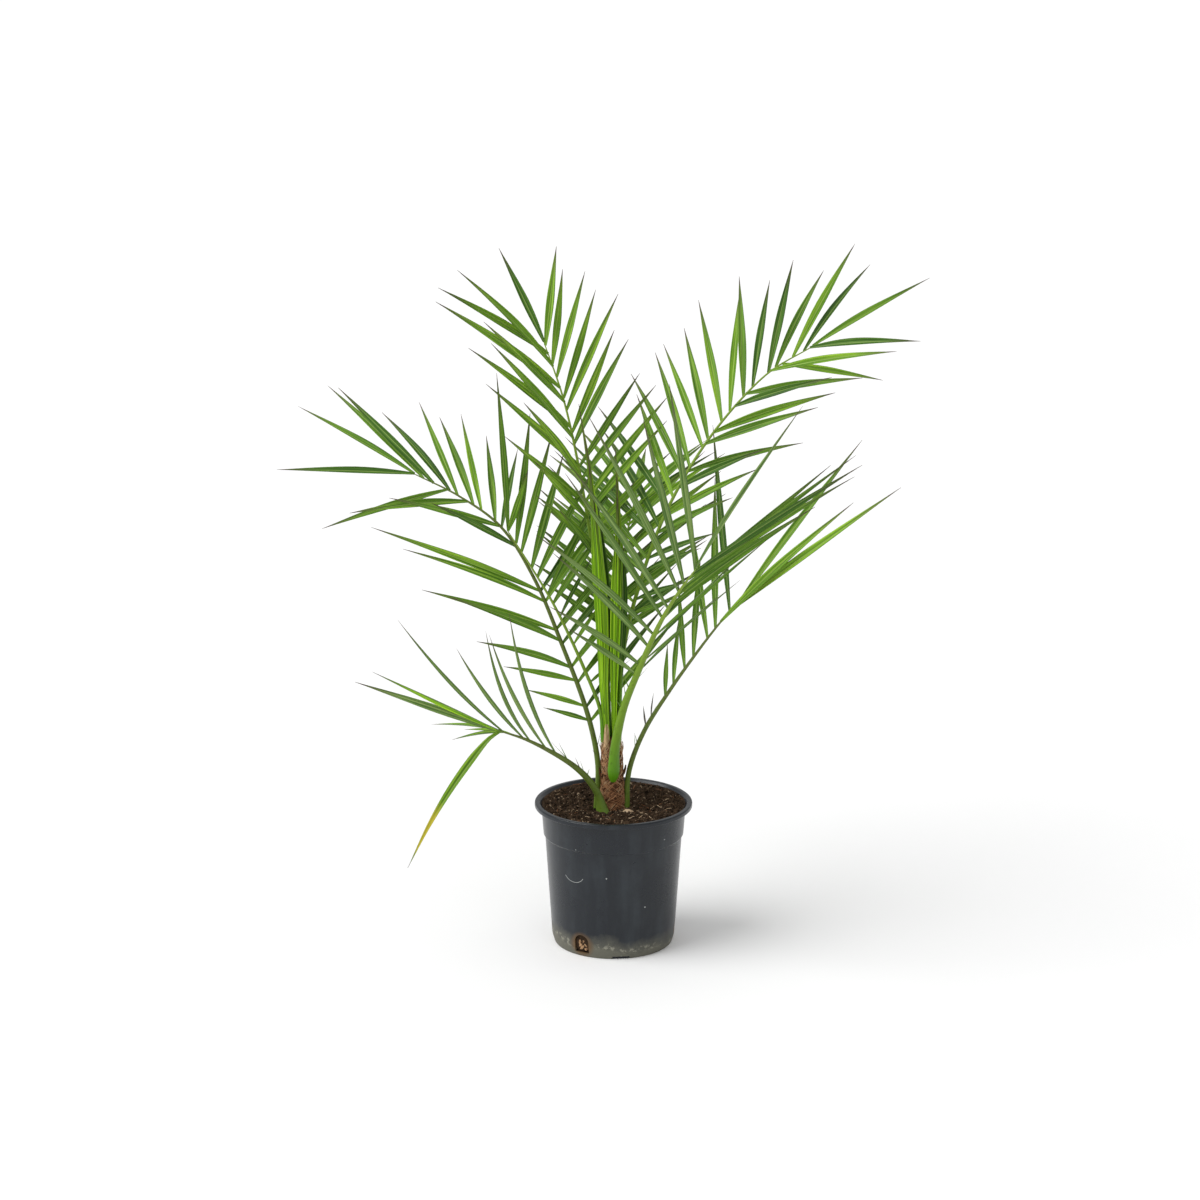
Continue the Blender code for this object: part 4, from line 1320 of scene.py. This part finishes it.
@dataclass
class Pot:
    """Round nursery pot: lip, collar, tapering wall, drain arches and foot slots."""
    rim_radius: float = 95.0
    rim_inner: float = 89.5
    rim_height: float = 176.0
    lip_depth: float = 5.6
    collar_top: float = 87.0
    collar_foot: Pair = (84.5, 136.5)
    wall_top: Pair = (82.5, 134.5)
    wall_foot: Pair = (74.5, 10.0)
    base_radius: float = 71.5
    wall: float = 2.0
    floor: float = 4.0
    steps: int = 192
    openings: int = 3
    drain_azimuth: float = 239.0
    drain_width: float = 19.0
    drain_heights: Pair = (5.0, 28.0)
    notch_azimuth: float = 277.0
    notch_width: float = 21.0
    notch_height: float = 3.6
    chips: int = 9
    seed: int = 8

    def build(self) -> None:
        """Build the pot with its openings cut."""
        made = turned("pot_shell", self.profile(), self.steps)
        for number in range(self.openings):
            turn = 360 / self.openings * number
            self.cut(made, self.arch(), self.drain_azimuth + turn, self.wall_foot[0], 12.0)
            self.cut(made, self.notch(), self.notch_azimuth + turn, self.base_radius + 2, 4.5)
        outward(made)
        smooth(made, 32.0)
        made.data.materials.append(PotFinish().make())
        finished(made, ["pot"])
        self.drain_chips()

    def drain_chips(self) -> None:
        """Pale bark chips that show in the drain openings."""
        draw = random.Random(self.seed)
        pieces = []
        for number in range(self.openings):
            turn = math.radians(self.drain_azimuth + 360 / self.openings * number)
            out = Vector((math.cos(turn), math.sin(turn), 0.0))
            left = Vector((-out.y, out.x, 0.0))
            for _ in range(self.chips):
                middle = out * draw.uniform(70.5, 72.6) + left * draw.uniform(-5.5, 5.5)
                middle += UP * draw.uniform(self.drain_heights[0] + 4, self.drain_heights[1] - 6)
                lean = draw.uniform(-0.9, 0.9)
                way = left * math.sin(lean) + UP * math.cos(lean)
                way = way * draw.uniform(2.5, 4.8) + out * draw.uniform(-1, 1)
                line = [middle - way, middle - way * 0.3 + out * 0.4, middle + way * 0.4, middle + way]
                pieces.append(swept("chip", line, [0.5, 1.3, 1.2, 0.4], 6, lambda u: (1.3, 0.6), left))
        made = joined("drain_chips", pieces)
        bark = EarthFinish("pale_bark_chip", (0.11, 0.050, 0.022), (0.56, 0.36, 0.20), 260.0)
        made.data.materials.append(bark.make())
        finished(made, [])

    def profile(self) -> list[Pair]:
        """Inner side from the floor up, then the outer side down, with rounded corners."""
        wall = self.wall
        lip_foot = self.rim_height - self.lip_depth
        return rounded((
            (0.0, self.floor, 0.0),
            (self.base_radius - wall, self.floor, 1.0),
            (self.wall_foot[0] - wall, self.wall_foot[1] + wall, 3.0),
            (self.wall_top[0] - wall, self.wall_top[1] - wall / 2, 1.0),
            (self.collar_foot[0] - wall, self.collar_foot[1] + wall / 2, 1.0),
            (self.collar_top - wall, lip_foot, 1.5),
            (self.rim_inner, self.rim_height, 1.0),
            (self.rim_radius, self.rim_height, 2.0),
            (self.rim_radius, lip_foot, 1.2),
            (self.collar_top, lip_foot, 0.8),
            (self.collar_foot[0], self.collar_foot[1], 0.8),
            (self.wall_top[0], self.wall_top[1], 0.8),
            (self.wall_foot[0], self.wall_foot[1], 3.0),
            (self.base_radius, 0.0, 1.5),
            (0.0, 0.0, 0.0),
        ))

    def arch(self) -> list[Pair]:
        """Round-topped drain opening, as (across, height)."""
        half = self.drain_width / 2
        low, high = self.drain_heights
        spring = high - half
        arc = [(half * math.cos(math.pi * step / 16), spring + half * math.sin(math.pi * step / 16))
               for step in range(17)]
        return [(-half, low), (half, low), *arc]

    def notch(self) -> list[Pair]:
        """Low slot under the foot, as (across, height)."""
        half = self.notch_width / 2
        return [(-half, -1.0), (half, -1.0), (half, self.notch_height), (-half, self.notch_height)]

    @staticmethod
    def cut(made: bpy.types.Object, outline: Sequence[Pair], azimuth: float, radius: float,
            half_depth: float) -> None:
        """Cut an outline through the wall at an azimuth.

        Args:
            made: The pot.
            outline: The opening's corners, as (across, height) in mm.
            azimuth: Direction that the opening faces, in degrees.
            radius: Distance of the cut's middle from the axis, in mm.
            half_depth: Half of the cut's depth, in mm.
        """
        turn = math.radians(azimuth)
        out = Vector((math.cos(turn), math.sin(turn), 0.0))
        left = Vector((-out.y, out.x, 0.0))
        count = len(outline)
        verts = [(out * (radius + side * half_depth) + left * across + UP * height) * MM
                 for side in (-1, 1) for across, height in outline]
        faces = [[*range(count)], [*range(count, 2 * count)][::-1]]
        faces += [[i, (i + 1) % count, (i + 1) % count + count, i + count] for i in range(count)]
        cutter = mesh_object("opening_cutter", verts, faces)
        outward(cutter)
        modifier = made.modifiers.new("opening", "BOOLEAN")
        modifier.operation = "DIFFERENCE"
        modifier.solver = "EXACT"
        modifier.object = cutter
        baked(made)
        bpy.data.objects.remove(cutter, do_unlink=True)


@dataclass
class Soil:
    """Peat with an uneven top, strewn with crumbs, bark chips and straw."""
    hollow: Pair = (26.0, 166.0)
    edge: Pair = (86.6, 173.2)
    side: tuple[Pair, ...] = ((84.6, 170.0), (81.9, 137.6), (80.1, 133.4), (72.1, 12.0))
    low: float = 4.4
    strewn: Pair = (12.0, 83.0)
    strewn_over: float = 150.0
    steps: int = 180
    rings: int = 60
    seed: int = 3

    def build(self) -> None:
        """Build the soil and what lies on it."""
        peat = EarthFinish("peat", (0.0016, 0.0010, 0.0006), (0.078, 0.048, 0.028),
                           110.0, 1.0, 1.0).make()
        bark = EarthFinish("bark_chip", (0.070, 0.044, 0.027), (0.360, 0.270, 0.185), 220.0).make()
        straw = EarthFinish("straw", (0.330, 0.220, 0.130), (0.640, 0.500, 0.340), 150.0).make()
        rust = EarthFinish("root_rust", (0.14, 0.055, 0.022), (0.34, 0.16, 0.08), 180.0).make()
        made = self.body()
        made.data.materials.append(peat)
        ground = self.top_only(made)
        chips = ScatterTree("chip_scatter", chip_shape)
        straws = ScatterTree("straw_scatter", straw_shape)
        pieces = (
            chips.strew("peat_crumbs", ground, 110000, (0.0006, 0.0006, 0.0005), (0.0036, 0.0030, 0.0024),
                        3.0, self.seed, peat),
            chips.strew("bark_crumbs", ground, 26000, (0.0006, 0.0005, 0.0004), (0.0028, 0.0018, 0.0014),
                        0.6, self.seed + 1, bark),
            straws.strew("straw_bits", ground, 1100, (0.0020, 0.0030, 0.0030), (0.0080, 0.0090, 0.0060),
                         0.30, self.seed + 2, straw),
            straws.strew("root_bits", ground, 3200, (0.0020, 0.0030, 0.0030), (0.0070, 0.0060, 0.0050),
                         0.40, self.seed + 3, rust),
        )
        bpy.data.objects.remove(ground, do_unlink=True)
        finished(made, ["soil"])
        for piece in pieces:
            smooth(piece, 50.0)
            finished(piece, [])
        self.scraps(straw)

    def height(self, x: float, y: float) -> float:
        """Height of the soil's top at a place, in mm."""
        radius = math.hypot(x, y)
        t = min(max((radius - self.hollow[0]) / (self.edge[0] - self.hollow[0]), 0.0), 1.0)
        level = self.hollow[1] + (self.edge[1] - self.hollow[1]) * t ** 0.8
        coarse = noise.fractal(Vector((x, y, 3.0)) * 0.045, 0.9, 2.1, 4)
        lumps = noise.noise(Vector((x, y, 7.0)) * 0.13)
        fine = noise.noise(Vector((x, y, 1.0)) * 0.45)
        rim = min(max((88.0 - radius) / 10.0, 0.0), 1.0)
        mound = 2.2 * math.exp(-((radius - 15) / 9) ** 2)
        return level + (2.0 * coarse + 3.6 * lumps + 1.3 * fine) * rim + mound

    def body(self) -> bpy.types.Object:
        """Closed body of the soil with relief on its top."""
        rim, edge = self.edge
        profile = [(0.0, edge)]
        profile += [(rim * ring / self.rings, edge) for ring in range(1, self.rings + 1)]
        profile += [*self.side, (69.0, self.low), (0.0, self.low)]
        made = turned("soil_body", profile, self.steps)
        for vert in made.data.vertices:
            place = vert.co / MM
            if place.z > edge - 1:
                vert.co.z = self.height(place.x, place.y) * MM
        smooth(made, 60.0)
        return made

    def scraps(self, straw: bpy.types.Material) -> None:
        """Pale dead roots that lie in front of the stem, and a scrap of sheath."""
        runs = (((18, -36), (26, -31), (35, -33), (42, -38)), ((24, -58), (31, -52), (34, -44), (31, -38)),
                ((44, -14), (52, -11), (58, -14)), ((-52, -26), (-46, -20), (-41, -22)),
                ((12, -44), (17, -49), (25, -50)), ((60, 12), (66, 16), (69, 24)))
        pieces = []
        for run in runs:
            line = [Vector((place.x, place.y, self.height(place.x, place.y) + 1.1))
                    for place in smooth_path([(x, y, 0.0) for x, y in run], 9)]
            pieces.append(swept("root", line, [0.2, 0.4, 0.5, 0.55, 0.5, 0.45, 0.4, 0.3, 0.15], 6,
                                lambda u: (1.2, 0.8), Vector((0.3, 0.9, 0.1))))
        scrap = [Vector(place) for place in ((10, -20, 168), (14, -23, 170.5), (19, -24, 171), (24, -21, 169))]
        pieces.append(swept("scrap", scrap, [0.6, 1.8, 1.5, 0.4], 8,
                            lambda u: (1.4, 0.3), Vector((0.2, 0.7, 0.6))))
        made = joined("dead_roots", pieces)
        made.data.materials.append(straw)
        finished(made, [])

    def top_only(self, made: bpy.types.Object) -> bpy.types.Object:
        """Copy of the soil's upper face, to strew things over."""
        copy = linked("soil_ground", made.data.copy())
        shape = bmesh.new()
        shape.from_mesh(copy.data)
        gone = [face for face in shape.faces
                if face.normal.z < 0.2 or face.calc_center_median().z < self.strewn_over * MM
                or not self.strewn[0] * MM < face.calc_center_median().xy.length < self.strewn[1] * MM]
        bmesh.ops.delete(shape, geom=gone, context="FACES")
        shape.to_mesh(copy.data)
        shape.free()
        return copy


# Scene

def finished(piece: bpy.types.Object, nodes: Sequence[str]) -> None:
    """Hand a finished piece to the frame: its body and the nodes it stands for."""
    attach(piece, "root")
    if nodes:
        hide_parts(*nodes)
    LOG.info("%s: %d faces", piece.name, len(piece.data.polygons))


@dataclass(frozen=True)
class Studio:
    """Pale floor, white surround, soft light from the upper left and the photograph's camera."""
    camera_place: tuple[float, float, float] = (-0.0163, -3.254, 1.245)
    camera_pitch: float = 14.14
    lens: float = 85.0
    floor_size: float = 160.0
    floor_colour: Colour = (0.93, 0.93, 0.93)
    sun_angle: float = 50.0
    suns: tuple[tuple[str, tuple[float, float, float], float], ...] = (
        ("key", (-1.6, -0.5, 1.7), 2.3), ("fill", (0.6, -2.2, 1.4), 0.25))
    surround: float = 0.6

    def build(self) -> None:
        """Build the floor, the lights, the surround and the camera."""
        self.floor()
        for name, place, strength in self.suns:
            self.light(name, place, strength)
        world = bpy.context.scene.world or bpy.data.worlds.new("surround")
        bpy.context.scene.world = world
        world.use_nodes = True
        surround = world.node_tree.nodes["Background"]
        surround.inputs["Color"].default_value = (*WHITE, 1.0)
        surround.inputs["Strength"].default_value = self.surround
        bpy.context.scene.view_settings.view_transform = "Standard"
        self.camera()

    def floor(self) -> None:
        """Plain pale floor."""
        half = self.floor_size / 2
        corners = [Vector((x * half, y * half, 0.0)) for x, y in ((-1, -1), (1, -1), (1, 1), (-1, 1))]
        floor = mesh_object("floor", corners, [[0, 1, 2, 3]])
        material, _, surface = shader("pale_floor", 0.7)
        surface.inputs["Base Color"].default_value = (*self.floor_colour, 1.0)
        floor.data.materials.append(material)

    def light(self, name: str, place: tuple[float, float, float], strength: float) -> None:
        """Broad soft light from afar, towards the plant."""
        lamp = bpy.data.lights.new(name, "SUN")
        lamp.angle = math.radians(self.sun_angle)
        lamp.energy = strength
        made = linked(name, lamp)
        made.location = place
        made.rotation_euler = (-Vector(place)).to_track_quat("-Z", "Y").to_euler()

    def camera(self) -> None:
        """Camera at the photograph's viewing angle."""
        lens = bpy.data.cameras.new("camera")
        lens.lens = self.lens
        made = linked("camera", lens)
        made.location = self.camera_place
        made.rotation_euler = Euler((math.radians(90 - self.camera_pitch), 0.0, 0.0))
        bpy.context.scene.camera = made


def main() -> None:
    """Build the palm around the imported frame."""
    logging.basicConfig(level=logging.INFO, format="%(name)s: %(message)s")
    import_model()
    Pot().build()
    Soil().build()
    Stem().build()
    Crown(crown()).build()
    Studio().build()


if __name__ == "__main__":
    main()
